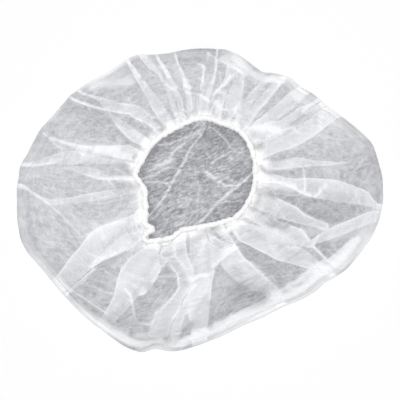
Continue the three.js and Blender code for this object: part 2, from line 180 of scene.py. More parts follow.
# Every large pleat of the border, from its outer end to the mouth. Each station gives how
# far inward it lies and the turns of the lapped cloth's two edges.
# lie is 1 where the upper edge is the low-turn one and -1 where it is the high-turn one.
PLEATS = [
    # lie, lift, ((inward, low, high), ...)
    (-1, 1.6, ((0.2, 6.9, 7.6), (0.31, 6.7, 8), (0.41, 6.9, 9.2), (0.5, 7.3, 10.2), (0.575, 7.6, 12.2),
               (0.63, 7.6, 13.5), (0.79, 7.6, 14.3), (0.97, 9, 16))),
    (1, 2.2, ((0, 24.7, 30.5), (0.1, 24, 30.4), (0.23, 22.7, 29.4), (0.32, 21.7, 29.4), (0.41, 20.9, 30),
              (0.515, 20, 31.3), (0.625, 19.2, 31.3), (0.76, 19.9, 31), (0.97, 18.5, 29))),
    (-1, 1.2, ((0, 31, 33.3), (0.1, 31, 33.2), (0.22, 31.2, 33))),
    (-1, 1.4, ((0, 33.6, 35.3), (0.1, 33.6, 35.3), (0.2, 33.2, 36.6), (0.35, 32.7, 36.3),
               (0.47, 32.4, 36.5), (0.6, 31.6, 37.3), (0.8, 31, 38), (0.97, 31, 37))),
    (-1, 2.0, ((0, 38.8, 43.8), (0.07, 38.7, 44.4), (0.16, 38.4, 44.8), (0.32, 37.9, 44.7), (0.5, 38, 45.2),
               (0.65, 37.5, 45.6), (0.72, 37.6, 46.5), (0.97, 38, 45.5))),
    (1, 1.6, ((0, 50, 52), (0.055, 49.9, 52.3), (0.17, 49.7, 53.2), (0.27, 49.6, 53.8), (0.45, 49.3, 54.3),
              (0.65, 49.1, 55), (0.97, 47.5, 54))),
    (-1, 1.6, ((0.06, 55.3, 58), (0.2, 55.5, 58.8), (0.33, 55.8, 59.5), (0.43, 55.9, 60.2),
               (0.52, 55.6, 61.3), (0.7, 55.4, 61.3), (0.97, 54.8, 60))),
    (1, 1.8, ((0.1, 66.7, 70.8), (0.21, 66, 70.5), (0.32, 64.9, 70.6), (0.42, 63.5, 71), (0.52, 62.2, 72),
              (0.65, 61.8, 71.8), (0.8, 61.5, 70), (0.97, 61.5, 68))),
    (-1, 1.6, ((0.1, 71.1, 76.8), (0.2, 71.2, 76.4), (0.26, 71.5, 76.1), (0.345, 72.7, 76),
               (0.45, 74.3, 76.6), (0.5, 75.5, 77.6), (0.6, 77.4, 79.7), (0.66, 79.3, 80.7))),
    (1, 1.4, ((0.5, 72.8, 75), (0.6, 72.5, 77.2), (0.7, 72.3, 77.4), (0.8, 71.8, 78), (0.97, 71, 76.5))),
    (1, 1.6, ((0, 81.6, 82.6), (0.1, 81.2, 83), (0.25, 81, 82.3), (0.4, 81, 83), (0.52, 81.4, 84.3),
              (0.65, 82.3, 86), (0.72, 83.2, 86.4), (0.8, 83, 86.5), (0.97, 82, 86))),
    (-1, 1.4, ((0.19, 86.9, 89.2), (0.25, 86.8, 88), (0.32, 87, 88.3), (0.4, 86.9, 88.8), (0.5, 86.7, 89.3),
               (0.63, 86.5, 89.5), (0.8, 86.8, 89.6), (0.97, 86.5, 89.5))),
    (1, 1.6, ((0, 100, 100.9), (0.1, 99.9, 100.9), (0.18, 99.2, 100.5), (0.27, 98.1, 100),
              (0.37, 97.2, 99.5), (0.46, 95.7, 99.5), (0.515, 94.7, 100), (0.56, 94.8, 98.7),
              (0.65, 95, 99), (0.75, 95, 99.7), (0.97, 94.5, 99.5))),
    (1, 1.5, ((0, 107.7, 109), (0.105, 106.6, 108.5), (0.23, 105.4, 107.9), (0.3, 105, 107.8),
              (0.385, 104.1, 108), (0.45, 103.3, 107.5), (0.52, 102.5, 107), (0.6, 101.9, 105.5),
              (0.68, 101.5, 105.5), (0.8, 102, 106.5), (0.97, 102, 107))),
    (-1, 1.6, ((0, 112.2, 115.4), (0.09, 110.9, 114.4), (0.17, 109.8, 112.7), (0.23, 109.3, 111),
               (0.36, 107.9, 110.3), (0.5, 107.3, 110.1), (0.6, 107.3, 110.1), (0.7, 107.3, 110.3),
               (0.85, 107, 110.7), (0.97, 107.4, 111))),
    (-1, 2.0, ((0, 119.7, 121.1), (0.13, 118.9, 121.5), (0.255, 118.5, 121.7), (0.41, 117.6, 121.9),
               (0.51, 116.7, 122.3), (0.625, 115.3, 122.9), (0.75, 114.6, 123.3), (0.85, 114, 123.3),
               (0.97, 113.5, 122))),
    (1, 1.2, ((0, 146.1, 147.2), (0.105, 145.3, 146.6), (0.2, 144, 145.5), (0.3, 142.8, 144.1),
              (0.37, 141.8, 142.9))),
    (-1, 2.0, ((0.02, 142.2, 143.4), (0.07, 141.2, 142.7), (0.13, 140.3, 141.8), (0.2, 139, 141.4),
               (0.295, 137.4, 142), (0.37, 135.9, 142.4), (0.46, 132.2, 140.1), (0.51, 130.1, 138.6),
               (0.56, 128.4, 136.5), (0.65, 126.6, 136.1), (0.725, 126.2, 133.6), (0.81, 126, 132.1),
               (0.88, 125.8, 131), (0.97, 126, 130.5))),
    (-1, 1.8, ((0.385, 142.3, 143.3), (0.45, 142.2, 144.3), (0.5, 142, 145.1), (0.59, 141.8, 146.5),
               (0.66, 141.4, 147.5), (0.75, 141, 148.9), (0.83, 140.5, 149.6), (0.97, 140.3, 148.3))),
    (1, 2.2, ((0.06, 163.2, 164.1), (0.19, 163.4, 164.6), (0.31, 163.2, 165), (0.385, 163, 165.2),
              (0.47, 162.2, 166), (0.55, 160.9, 166.2), (0.61, 159.4, 165.6), (0.69, 157.2, 165),
              (0.75, 155.2, 164.7), (0.8, 152.7, 164.3), (0.97, 152.5, 163))),
    (-1, 1.6, ((0, 173.6, 174.9), (0.04, 173.1, 174.7), (0.105, 171.8, 174.4), (0.17, 170, 173.8),
               (0.27, 167.6, 173), (0.33, 166.5, 173), (0.385, 166, 172.8), (0.47, 166.2, 172),
               (0.55, 166.5, 171.4), (0.65, 166.2, 170.7), (0.75, 165.7, 169.7), (0.82, 165.2, 168.2),
               (0.97, 164.6, 168))),
    (-1, 1.6, ((0.385, 173.2, 174.1), (0.47, 172.9, 175.8), (0.575, 172.8, 177.5), (0.65, 173.2, 178.8),
               (0.7, 175, 179.5), (0.76, 176.8, 179.5), (0.83, 176.3, 179.8), (0.97, 175.8, 180))),
    (1, 1.6, ((0, 180.5, 182), (0.09, 182.9, 184.5), (0.18, 185.8, 187.5), (0.25, 187, 189.2),
              (0.33, 187.2, 189.6), (0.42, 187.3, 189.9), (0.51, 186.7, 190.5), (0.62, 186.3, 191.1),
              (0.75, 185.9, 191.6), (0.97, 185.8, 191))),
    (1, 2.4, ((0, 213.9, 219.3), (0.12, 212.3, 219.3), (0.22, 210.7, 219.3), (0.345, 209, 219.1),
              (0.435, 206.9, 218.7), (0.51, 205.3, 217.8), (0.585, 204.6, 217), (0.69, 205.3, 216.5),
              (0.8, 206.3, 216), (0.97, 208, 216))),
    (1, 1.2, ((0, 219.7, 221.2), (0.2, 219.7, 221.4), (0.36, 219.4, 220.6))),
    (-1, 1.6, ((0.3, 217.4, 219), (0.5, 216.5, 220), (0.65, 215.6, 223.2), (0.75, 215.5, 225.2),
               (0.85, 215.8, 226), (0.97, 216.5, 226))),
    (1, 2.0, ((0, 234.5, 238.7), (0.13, 234.2, 239.3), (0.19, 234, 239.8), (0.31, 233.2, 241.3),
              (0.43, 231, 242.3), (0.55, 228.7, 243), (0.7, 227.7, 242.5), (0.8, 229, 241.5),
              (0.97, 232, 239.5))),
    (-1, 1.6, ((0.42, 241.5, 243.9), (0.5, 241.6, 245.7), (0.6, 241.8, 246.6), (0.68, 242, 247.2),
               (0.76, 242.2, 249.3), (0.84, 241.8, 248), (0.97, 240.2, 244.6))),
    (-1, 1.4, ((0.06, 253.5, 258.8), (0.12, 251.4, 258.6), (0.2, 251.4, 258.8), (0.3, 251.9, 261.2),
               (0.38, 255.5, 262), (0.5, 259.3, 263.8), (0.62, 256.5, 263.5), (0.68, 252.2, 262.5),
               (0.73, 249.8, 261.5), (0.8, 249, 260), (0.97, 246, 256))),
    (1, 1.6, ((0.04, 260.4, 262.4), (0.1, 259.2, 262.9), (0.2, 259.4, 263.5), (0.3, 261.6, 264.5),
              (0.42, 263, 266), (0.54, 264.3, 267))),
    (-1, 2.0, ((0.03, 267.5, 273), (0.1, 266.8, 273.6), (0.2, 266, 274.4), (0.3, 264.8, 275.3),
               (0.42, 264.6, 276.6), (0.5, 264.8, 278), (0.57, 265, 280), (0.66, 264.3, 281.5),
               (0.8, 262.5, 280), (0.97, 260, 277.5))),
    (-1, 1.4, ((0.6, 277, 281.5), (0.66, 278, 285), (0.7, 279, 290), (0.76, 280, 293), (0.85, 280.3, 288.5),
               (0.92, 279.5, 284.5), (0.97, 278.8, 283))),
    (-1, 2.0, ((0.03, 301.5, 305.5), (0.1, 300.8, 307), (0.18, 298.8, 306.4), (0.3, 294, 305),
               (0.37, 291.5, 304.3), (0.45, 289, 303), (0.52, 287, 301.7), (0.585, 284.8, 300.5),
               (0.65, 285.5, 300.2), (0.725, 290, 300), (0.8, 291, 300), (0.97, 288, 299))),
    (1, 2.2, ((0, 323.7, 325.8), (0.08, 322.6, 326.1), (0.17, 321.3, 326.3), (0.27, 319.3, 326.8),
              (0.36, 316.9, 327.1), (0.42, 314.6, 326.4), (0.51, 313, 325.8), (0.6, 310.3, 325.5),
              (0.68, 307.8, 325), (0.76, 303.7, 323.6), (0.85, 303, 320.5), (0.97, 302, 316))),
    (-1, 1.6, ((0.04, 327, 328), (0.15, 328, 329), (0.22, 328.6, 329.6), (0.31, 329.2, 330.6),
               (0.37, 328, 331.9), (0.45, 326.8, 333.6), (0.5, 326, 335), (0.6, 325.6, 334.4),
               (0.7, 325, 333.6), (0.78, 324, 333), (0.97, 321.5, 331))),
    (-1, 1.6, ((0, 347, 350.9), (0.055, 345, 350.1), (0.13, 342.3, 348), (0.2, 338.6, 345.3),
               (0.27, 334.6, 342.6), (0.33, 331, 338.7), (0.37, 329.5, 334))),
    (-1, 2.0, ((0.32, 338.4, 341.8), (0.43, 338.2, 341.9), (0.55, 336.8, 342.6), (0.62, 336.1, 344.9),
               (0.7, 335.2, 345.7), (0.76, 334.5, 347), (0.81, 334.2, 348), (0.97, 334, 348.5))),
    (-1, 1.8, ((0, 351.2, 353.1), (0.04, 351.5, 354.3), (0.08, 351.7, 356.2), (0.13, 351.7, 357.4),
               (0.19, 351.7, 358.1), (0.28, 351.6, 359.6), (0.33, 351.5, 360.5), (0.41, 351.6, 361),
               (0.55, 351.8, 361.6), (0.625, 353, 361.6), (0.675, 354.5, 361.2), (0.75, 356.2, 362),
               (0.815, 357.8, 364), (0.87, 358, 366.3), (0.92, 358, 367.8), (0.97, 357.5, 368.3))),
]

# Folds that run round the border. Each station gives its turn, how far inward, and width.
# lie is -1 where the upper edge is the outer one and 1 where it is the inner one.
TUCKS = [
    # lie, lift, ((turn, inward, width), ...)
    (-1, 1.2, ((262, 0.04, 6), (271, 0.05, 9), (285, 0.055, 10), (297, 0.055, 11), (306, 0.072, 13),
               (322, 0.095, 15), (342, 0.06, 9))),
    (-1, 1.2, ((48, 0.03, 5), (57, 0.06, 9), (66, 0.075, 12), (76, 0.075, 11), (82, 0.08, 4))),
]

# Where the border's edge is rolled and lies double just inside the outer bend. Each row
# gives a turn, how deep in the middle of the roll lies, its half width, how white the roll
# is and how white the very edge is.
RIM_ROLL = [
    # turn, depth, half width, white, edge
    (0, 8, 9, 0.35, 0.1), (8, 8, 9, 0.1, 0.1), (15, 6, 7, 0.35, 0.4), (22, 8, 8, 0.55, 0.3),
    (30, 8, 6, 0.42, 0.8), (39, 9, 8, 0.62, 0.3), (47, 5, 6, 0.7, 1), (56, 6.5, 3, 0.95, 0.5),
    (65, 7, 5, 0.72, 0.3), (74, 5, 4.5, 1, 0.8), (82, 8, 6, 0.28, 0.2), (92, 5, 4, 0.35, 0.1),
    (101, 4, 4, 0.4, 0.3), (110, 5, 6, 0.3, 0.4), (120, 6, 6, 0.25, 0.8), (129, 11, 8, 0.55, 1),
    (138, 4, 6, 0.45, 0.9), (147, 6, 5, 0.3, 0.3), (155, 6, 4, 0.2, 0.7), (163, 6, 5, 0.3, 0.4),
    (171, 6, 6, 0.45, 0.4), (180, 5, 5, 0.27, 0.4), (189, 5, 6, 0.5, 0.3), (197, 4, 5, 0.38, 0.2),
    (205, 4, 6, 0.62, 0.8), (214, 4, 6, 0.6, 0.8), (222, 3, 3, 0.6, 0.7), (230, 4, 5, 1, 1),
    (238, 5.5, 6, 1, 0.8), (248, 7, 4, 1, 0), (254, 8.5, 3, 0.85, 1), (260, 7.5, 4, 0.8, 0.8),
    (264, 7, 5, 0.65, 0.3), (270, 10, 5, 0.75, 0.3), (278, 6.5, 4, 1, 1), (285, 6.5, 4.5, 1, 1),
    (296, 6, 5, 1, 1), (305, 7, 6, 0.75, 1), (312, 8.5, 4.5, 0.8, 1), (318, 9, 5, 0.7, 1),
    (324, 9, 9, 0.8, 1), (330, 9, 8, 0.95, 0.3), (336, 9, 8, 0.75, 1), (342, 8, 8, 0.85, 1),
    (348, 10, 8, 0.3, 0.2), (355, 14, 6, 0.3, 0.5),
]

# Small bumps and dents of the rumpled outer edge
RIM_BUMPS = [
    # turn, how far it pushes out, half width in degrees
    (14, 1.0, 4), (43, -2.4, 4), (60, -1.6, 3), (73, 0.9, 4), (116, 2.0, 4), (130, -2.6, 6),
    (145, 1.2, 3.5), (155, -1.0, 4), (175, 2.2, 3), (187, -1.0, 6), (198, 1.4, 3), (208, -1.5, 5),
    (219, 0.9, 4), (236, -1.0, 2), (246.5, 1.8, 5), (255.5, -3.5, 3), (264, 1.0, 4), (283, -1.9, 11),
    (322, -2.2, 4), (329, 0.5, 3), (340, -1.5, 5), (356, -1.1, 5),
]

# Sharp creases pressed into the border: whitened lines with a low ridge
BORDER_CREASES = [
    # strength, width, ((turn, inward), ...)
    (0.75, 1.3, ((7, 0.6), (0, 0.6), (-6.5, 0.6))),
    (0.7, 1.0, ((8.4, 0.05), (7, 0.105), (5.5, 0.137), (4.2, 0.175), (3, 0.213))),
    (0.9, 1.2, ((30.7, 0.0), (28.5, 0.09), (26.5, 0.17), (23.8, 0.235))),
    (0.7, 1.2, ((31.5, 0.6), (30.5, 0.47), (28, 0.447), (25.5, 0.455))),
    (0.5, 1.0, ((30.1, 0.4), (31.3, 0.55), (31.5, 0.7))),
    (0.4, 0.9, ((-0.3, 0.0), (-0.2, 0.3))),
    (0.6, 1.6, ((350.5, 0.01), (347.8, 0.13), (344.6, 0.19), (341.6, 0.27), (338.3, 0.33))),
    (0.8, 1.2, ((358.5, 0.42), (356.5, 0.466), (354, 0.487), (352.2, 0.52))),
    (0.9, 2.0, ((352.2, 0.55), (353.2, 0.625), (354.7, 0.675), (356.4, 0.75), (358.2, 0.815), (361, 0.86))),
    (0.6, 1.2, ((354.5, 0.88), (348.5, 0.8))),
    (0.6, 1.2, ((358, 0.88), (353, 0.94))),
    (0.7, 1.2, ((341.5, 0.33), (341.9, 0.45), (342.8, 0.56), (344.8, 0.63), (346, 0.72))),
    (0.9, 1.2, ((327.5, 0.05), (328.5, 0.15), (329.1, 0.22), (330.1, 0.31), (331.8, 0.38), (335, 0.5))),
    (0.5, 1.2, ((330.5, 0.3), (327, 0.385), (323.5, 0.46))),
    (0.5, 1.2, ((320.7, 0.2), (320, 0.55))),
    (1.0, 4.0, ((325.5, 0.05), (323.8, 0.14))),
    (0.8, 1.2, ((306.6, 0.15), (305, 0.3), (304, 0.4), (302, 0.5), (300.4, 0.58), (299.8, 0.7))),
    (0.6, 1.2, ((302.5, 0.5), (300, 0.54), (297, 0.575))),
    (0.5, 1.2, ((296, 0.51), (294, 0.56))),
    (0.35, 2.0, ((275.5, 0.545), (280, 0.6), (284, 0.655))),
    (1.0, 2.2, ((284, 0.655), (290, 0.69), (295, 0.7), (299.5, 0.7))),
    (0.9, 3.0, ((294, 0.72), (298.5, 0.74))),
    (0.5, 1.4, ((312, 0.81), (302.5, 0.77))),
    (0.8, 1.4, ((296, 0.735), (290, 0.82), (284, 0.885), (279, 0.91))),
    (0.9, 2.2, ((265.5, 0.54), (270, 0.57), (275.5, 0.55))),
    (0.8, 1.2, ((251.4, 0.2), (251.9, 0.3), (255.5, 0.38), (259.3, 0.5))),
    (0.8, 1.4, ((259.3, 0.5), (256.5, 0.62), (252, 0.68), (248.5, 0.73))),
    (0.6, 1.2, ((256, 0.605), (245, 0.6))),
    (0.8, 1.4, ((265.5, 0.54), (260, 0.68), (252.5, 0.78), (247.8, 0.9))),
    (0.8, 1.3, ((260, 0.02), (258.7, 0.09), (258.5, 0.17), (259.6, 0.25), (261.4, 0.31), (263.5, 0.42))),
    (0.9, 1.3, ((251, 0.195), (246, 0.19), (242, 0.31), (239, 0.385), (235.5, 0.42))),
    (0.8, 1.2, ((235, 0.12), (229, 0.1), (224, 0.065), (219.5, 0.03))),
    (0.55, 1.2, ((233, 0.32), (228.5, 0.265), (223, 0.185))),
    (0.7, 1.3, ((219.5, 0.45), (222.5, 0.65), (225, 0.76), (225.6, 0.9))),
    (0.7, 1.2, ((228.8, 0.55), (227.6, 0.68), (227.2, 0.8))),
    (0.6, 1.2, ((213, 0.37), (216, 0.42), (220, 0.47))),
    (0.8, 3.0, ((206.5, 0.45), (205.8, 0.58), (206.5, 0.7), (208.5, 0.8))),
    (0.7, 1.3, ((205.8, 0.415), (202, 0.4), (197.9, 0.365), (194.4, 0.325), (191, 0.275), (187, 0.19))),
    (0.7, 1.4, ((187, 0.19), (183.7, 0.09), (181.1, 0.0))),
    (0.5, 0.9, ((195, 0.33), (192, 0.31), (190, 0.33))),
    (0.4, 0.9, ((194, 0.35), (190, 0.36))),
    (0.6, 1.2, ((200.4, 0.515), (204.7, 0.6))),
    (0.7, 1.4, ((205.4, 0.69), (203.5, 0.77), (201.3, 0.815))),
    (0.8, 1.3, ((192.3, 0.815), (188, 0.79), (183, 0.765), (179.4, 0.745))),
    (0.4, 1.0, ((182.4, 0.23), (184.1, 0.36))),
    (0.4, 1.0, ((180.7, 0.155), (182.5, 0.22))),
    (0.7, 1.2, ((179.4, 0.02), (176.4, 0.05), (173.9, 0.075))),
    (0.7, 1.2, ((174.6, 0.0), (174.2, 0.12), (172.6, 0.21), (171, 0.3))),
    (0.7, 1.2, ((173.7, 0.385), (175.7, 0.47), (177.4, 0.575), (179.3, 0.69))),
    (0.8, 1.8, ((179, 0.7), (178.4, 0.8), (177.5, 0.92))),
    (0.8, 1.0, ((162.5, 0.0), (165.3, 0.155), (166.8, 0.255))),
    (0.9, 1.8, ((163.5, 0.1), (163.9, 0.2), (164, 0.3), (163.8, 0.4), (163, 0.5))),
    (0.9, 5.0, ((162.5, 0.55), (161, 0.65), (159, 0.72))),
    (0.9, 1.3, ((146.9, 0.0), (146.2, 0.105), (145, 0.22), (143.2, 0.31), (142.3, 0.37))),
    (0.8, 1.3, ((142.3, 0.37), (140.4, 0.435), (138.3, 0.51), (136.2, 0.56))),
    (0.8, 1.3, ((142.7, 0.02), (141.3, 0.13), (140.4, 0.17), (139, 0.21))),
    (0.7, 1.2, ((139, 0.21), (137.4, 0.3), (135.4, 0.385), (132.2, 0.46), (130, 0.51))),
    (0.7, 1.2, ((136, 0.65), (133.4, 0.73), (132, 0.81), (130.6, 0.88))),
    (0.8, 1.3, ((126, 0.75), (123.7, 0.79))),
    (0.8, 2.0, ((139, 0.02), (132, 0.11), (127.5, 0.2), (124.5, 0.235))),
    (0.4, 0.9, ((147.6, 0.23), (148.5, 0.37))),
    (0.6, 1.2, ((144, 0.42), (146.4, 0.59), (149.4, 0.82))),
    (0.8, 1.6, ((120.3, 0.0), (119.9, 0.1), (119.9, 0.22))),
    (0.7, 1.4, ((118.8, 0.3), (119, 0.36))),
    (0.6, 1.2, ((119.7, 0.74), (118, 0.745))),
    (0.6, 1.0, ((111.5, 0.04), (109.8, 0.12))),
    (0.9, 1.8, ((108.3, 0.0), (107.3, 0.12), (106.4, 0.23), (106, 0.29))),
    (0.8, 1.8, ((109, 0.39), (105.5, 0.48), (103.3, 0.52))),
    (0.8, 1.2, ((100.5, 0.0), (100.4, 0.1), (99.6, 0.18), (98.6, 0.27), (97.9, 0.37))),
    (0.9, 2.4, ((98.3, 0.38), (97.8, 0.48), (95.5, 0.52))),
    (0.8, 2.0, ((98, 0.57), (96, 0.6), (94.8, 0.6))),
    (1.0, 1.6, ((94, 0.6), (89.1, 0.65), (85.9, 0.7), (82.6, 0.75))),
    (0.8, 1.3, ((90, 0.17), (87.7, 0.2), (87, 0.24), (87.6, 0.3), (87.7, 0.45))),
    (0.7, 1.3, ((82, 0.0), (81.7, 0.2), (81.5, 0.3), (82.3, 0.46))),
    (0.8, 1.4, ((86, 0.0), (83, 0.06), (80.3, 0.12), (74, 0.13), (66, 0.12))),
    (0.6, 1.0, ((79.4, 0.28), (78, 0.4), (77, 0.46))),
    (0.9, 1.8, ((73.6, 0.28), (74.7, 0.42), (76.6, 0.485), (78.4, 0.56), (80.3, 0.65))),
    (0.6, 1.2, ((71.2, 0.18), (73, 0.34))),
    (0.5, 1.2, ((66.5, 0.14), (64.8, 0.32), (62.4, 0.5))),
    (0.5, 1.2, ((58.6, 0.14), (59.6, 0.33), (61.5, 0.52))),
    (0.9, 3.0, ((58.5, 0.045), (55.5, 0.05))),
    (0.8, 1.6, ((50.4, 0.04), (49.9, 0.3), (49.6, 0.5))),
    (0.4, 1.2, ((49, 0.5), (45.2, 0.505))),
    (0.6, 0.9, ((47.5, 0.56), (47.4, 0.7))),
    (0.9, 1.6, ((34.5, 0.02), (34.6, 0.1), (34, 0.2))),
    (0.8, 4.0, ((32, 0.6), (36, 0.68), (42, 0.8), (47, 0.9))),
    (0.8, 1.3, ((213, 0.02), (222, 0.025), (231, 0.02), (240, 0.01))),
    (0.9, 1.5, ((238, 0.02), (243, 0.0), (248, 0.03), (252, 0.045), (257, 0.03), (262, 0.0), (268, 0.015))),
    (0.7, 1.3, ((262, 0.11), (273, 0.085), (285, 0.075), (300, 0.1), (315, 0.13), (330, 0.12),
                (343, 0.07))),
    (0.7, 1.3, ((258, 0.03), (272, 0.035), (288, 0.03), (302, 0.045), (320, 0.055), (338, 0.04))),
    (0.7, 1.3, ((276, 0.1), (284, 0.112))),
    (0.7, 1.3, ((302, 0.145), (318, 0.165), (328, 0.16))),
    (0.7, 1.3, ((76, 0.02), (66, 0.03), (57, 0.025), (49, 0.02))),
]

# Soft patches where the cloth lies doubled or bunched and lets less through
BORDER_HAZE = [
    # strength, width, ((turn, inward), ...)
    (0.45, 6, ((347, 0.03), (342, 0.12), (337, 0.24))),
    (0.3, 7, ((301, 0.69), (284, 0.5), (277, 0.33))),
    (0.5, 6, ((201, 0.92), (206, 0.75), (210, 0.57))),
    (0.35, 7, ((198, 0.42), (203, 0.55))),
    (0.3, 6, ((188, 0.3), (191, 0.36))),
    (0.5, 5, ((143, 0.78), (141, 0.95))),
    (0.75, 5, ((162.5, 0.75), (160.5, 0.93))),
    (0.45, 8, ((232.5, 0.45), (235, 0.6), (236, 0.85))),
    (0.4, 4, ((225, 0.5), (226.5, 0.75))),
    (0.75, 5, ((226.7, 0.78), (229, 0.94))),
    (0.65, 4, ((248.5, 0.085), (251.5, 0.095))),
    (0.55, 6, ((264.5, 0.17), (265, 0.24), (266, 0.35))),
    (0.4, 5, ((271, 0.6), (272, 0.85))),
    (0.6, 2.5, ((301.8, 0.82), (301, 0.95))),
    (0.8, 5, ((356, 0.7), (357, 0.93))),
    (0.7, 6, ((138, 0.02), (134.8, 0.05), (131, 0.1), (127.5, 0.16), (124.5, 0.19))),
    (0.35, 6, ((112, 0.04), (110, 0.15))),
    (0.5, 6, ((321.5, 0.9), (324.5, 0.7), (326.5, 0.55))),
    (0.35, 5, ((102.5, 0.15), (101, 0.3))),
    (0.4, 5, ((5.5, 0.42), (3.5, 0.32))),
    (0.3, 3, ((9.8, 0.62), (9.6, 0.75))),
    (0.35, 5, ((13, 0.02), (10.5, 0.15))),
    (0.35, 6, ((178, 0.03), (176, 0.15))),
    (0.25, 7, ((156, 0.0), (154, 0.15))),
    (0.5, 3, ((7, 0.7), (8, 0.93))),
    (0.3, 6, ((9, 0.45), (5, 0.25))),
    (0.6, 4, ((80, 0.72), (67, 0.85))),
    (0.4, 4, ((95, 0.7), (94, 0.9))),
    (0.3, 6, ((86, 0.35), (84, 0.6))),
    (0.4, 4, ((81.5, 0.74), (81.5, 0.86))),
    (0.6, 3, ((179.5, 0.84), (179, 0.92))),
    (0.6, 4, ((199, 0.84), (200, 0.93))),
    (0.4, 5, ((284, 0.43), (290, 0.37))),
    (0.4, 5, ((338.5, 0.34), (337, 0.42))),
    (0.4, 4, ((260.3, 0.12), (259.5, 0.18))),
]

# Short strokes where a fold leaves the cloth under it in shade
BORDER_SHADES = [
    # strength, width, ((turn, inward), ...)
    (0.35, 8, ((352, 0.3), (347, 0.35), (343, 0.42))),
    (0.25, 6, ((66, 0.1), (58, 0.1))),
    (0.25, 6, ((82, 0.02), (76, 0.03))),
    (0.25, 5, ((47, 0.1), (48, 0.35))),
    (0.2, 6, ((31, 0.15), (31, 0.4))),
    (0.8, 4, ((16, 0.7), (15.5, 0.82))),
    (0.6, 4, ((347.5, 0.83), (348.5, 0.95))),
    (0.5, 4, ((351, 0.4), (348.5, 0.42))),
    (0.5, 4, ((265, 0.89), (268, 0.9), (280, 0.95), (290, 0.95))),
    (0.35, 4, ((11, 0.36), (11, 0.44))),
    (0.35, 5, ((10.5, 0.03), (9.8, 0.08))),
    (0.45, 3, ((274.5, 0.08), (275.5, 0.3))),
    (0.8, 3, ((264.2, 0.1), (266.5, 0.17))),
    (0.25, 4, ((283, 0.68), (286, 0.8))),
    (0.3, 6, ((224, 0.15), (225, 0.3))),
    (0.6, 6, ((246.5, 0.22), (245.5, 0.34))),
    (0.4, 4, ((39.5, 0.88), (40, 0.94))),
    (0.25, 4, ((173, 0.8), (173, 0.95))),
    (0.45, 4, ((186, 0.78), (186, 0.95))),
    (1.0, 8, ((291, 0.3), (294, 0.2), (298, 0.16))),
    (0.3, 4, ((222, 0.02), (229, 0.03), (236, 0.06))),
    (0.35, 6, ((143, 0.2), (138, 0.36))),
    (0.25, 6, ((125, 0.4), (122, 0.5))),
    (0.25, 6, ((110.5, 0.45), (109.5, 0.55))),
    (0.35, 8, ((173.5, 0.32), (175.5, 0.5))),
    (0.5, 4, ((332, 0.93), (345, 0.93))),
    (0.3, 6, ((305, 0.2), (308, 0.15))),
    (0.2, 6, ((330, 0.4), (328, 0.6))),
    (0.2, 6, ((321, 0.3), (320, 0.5))),
    (0.5, 6, ((4, 0.08), (3.5, 0.18))),
    (0.25, 5, ((360, 0.18), (361, 0.3))),
    (0.6, 4, ((237, 0.06), (241, 0.08))),
    (0.3, 4, ((258.5, 0.05), (258.5, 0.2))),
    (0.8, 2.0, ((5.6, 0.7), (5.8, 0.83), (7, 0.9), (10, 0.94), (13, 0.955))),
    (0.7, 1.8, ((250.5, 0.765), (248.3, 0.84), (245, 0.94))),
    (0.7, 1.6, ((296.5, 0.76), (292, 0.84), (287.5, 0.905), (282, 0.95))),
    (0.7, 1.8, ((214.3, 0.8), (217, 0.88), (220.5, 0.96))),
    (0.6, 1.4, ((200.9, 0.815), (198.5, 0.84), (195.7, 0.86))),
    (1.0, 1.6, ((328.6, 0.7), (328, 0.79))),
    (0.8, 3.0, ((332.8, 0.61), (331.5, 0.67), (332, 0.75))),
    (0.6, 1.4, ((333.7, 0.79), (332.8, 0.85))),
    (0.8, 1.8, ((341.8, 0.93), (340.8, 0.935))),
    (0.6, 1.6, ((348.2, 0.93), (346.8, 0.94))),
    (0.7, 3.0, ((31.5, 0.945), (29.5, 0.93), (29, 0.88))),
    (0.8, 2.4, ((68.3, 0.82), (67.4, 0.86), (67.8, 0.9))),
    (0.5, 1.6, ((75.5, 0.91), (74.5, 0.94))),
    (0.6, 1.6, ((52.5, 0.9), (51, 0.95))),
    (0.8, 2.4, ((160, 0.92), (157.6, 0.92))),
    (0.7, 1.4, ((240.7, 0.93), (238.3, 0.97))),
    (0.8, 1.8, ((125.7, 0.8), (124.4, 0.85), (124.1, 0.9))),
    (0.6, 3.0, ((128.3, 0.94), (123.5, 0.94))),
    (0.6, 1.4, ((139.9, 0.87), (138.6, 0.885))),
    (0.6, 1.6, ((134.5, 0.83), (133.8, 0.87))),
    (0.5, 1.8, ((151.3, 0.8), (150.5, 0.88), (151.5, 0.93))),
    (0.5, 1.6, ((104.5, 0.9), (104, 0.94))),
    (0.5, 1.6, ((96.3, 0.88), (95.6, 0.91))),
    (0.5, 1.6, ((100, 0.88), (99.5, 0.94))),
    (0.5, 1.6, ((171.7, 0.48), (171, 0.6), (170.3, 0.7), (169.5, 0.8))),
    (0.9, 3.0, ((173.5, 0.94), (171.5, 0.9), (169, 0.84))),
    (0.7, 2.4, ((187, 0.89), (185, 0.91), (183.5, 0.9))),
    (0.4, 5, ((189, 0.8), (189.5, 0.87))),
    (0.5, 4, ((245, 0.5), (244, 0.56))),
    (0.45, 6, ((147, 0.3), (145, 0.47))),
    (0.4, 4, ((61.5, 0.46), (61, 0.54))),
    (0.4, 4, ((46.5, 0.44), (46.3, 0.52))),
    (1.0, 1.6, ((94.5, 0.57), (92, 0.59), (89.6, 0.6))),
    (0.5, 1.4, ((103, 0.5), (101, 0.6), (100.3, 0.72))),
    (0.5, 1.8, ((17.5, 0.83), (15.5, 0.82))),
]

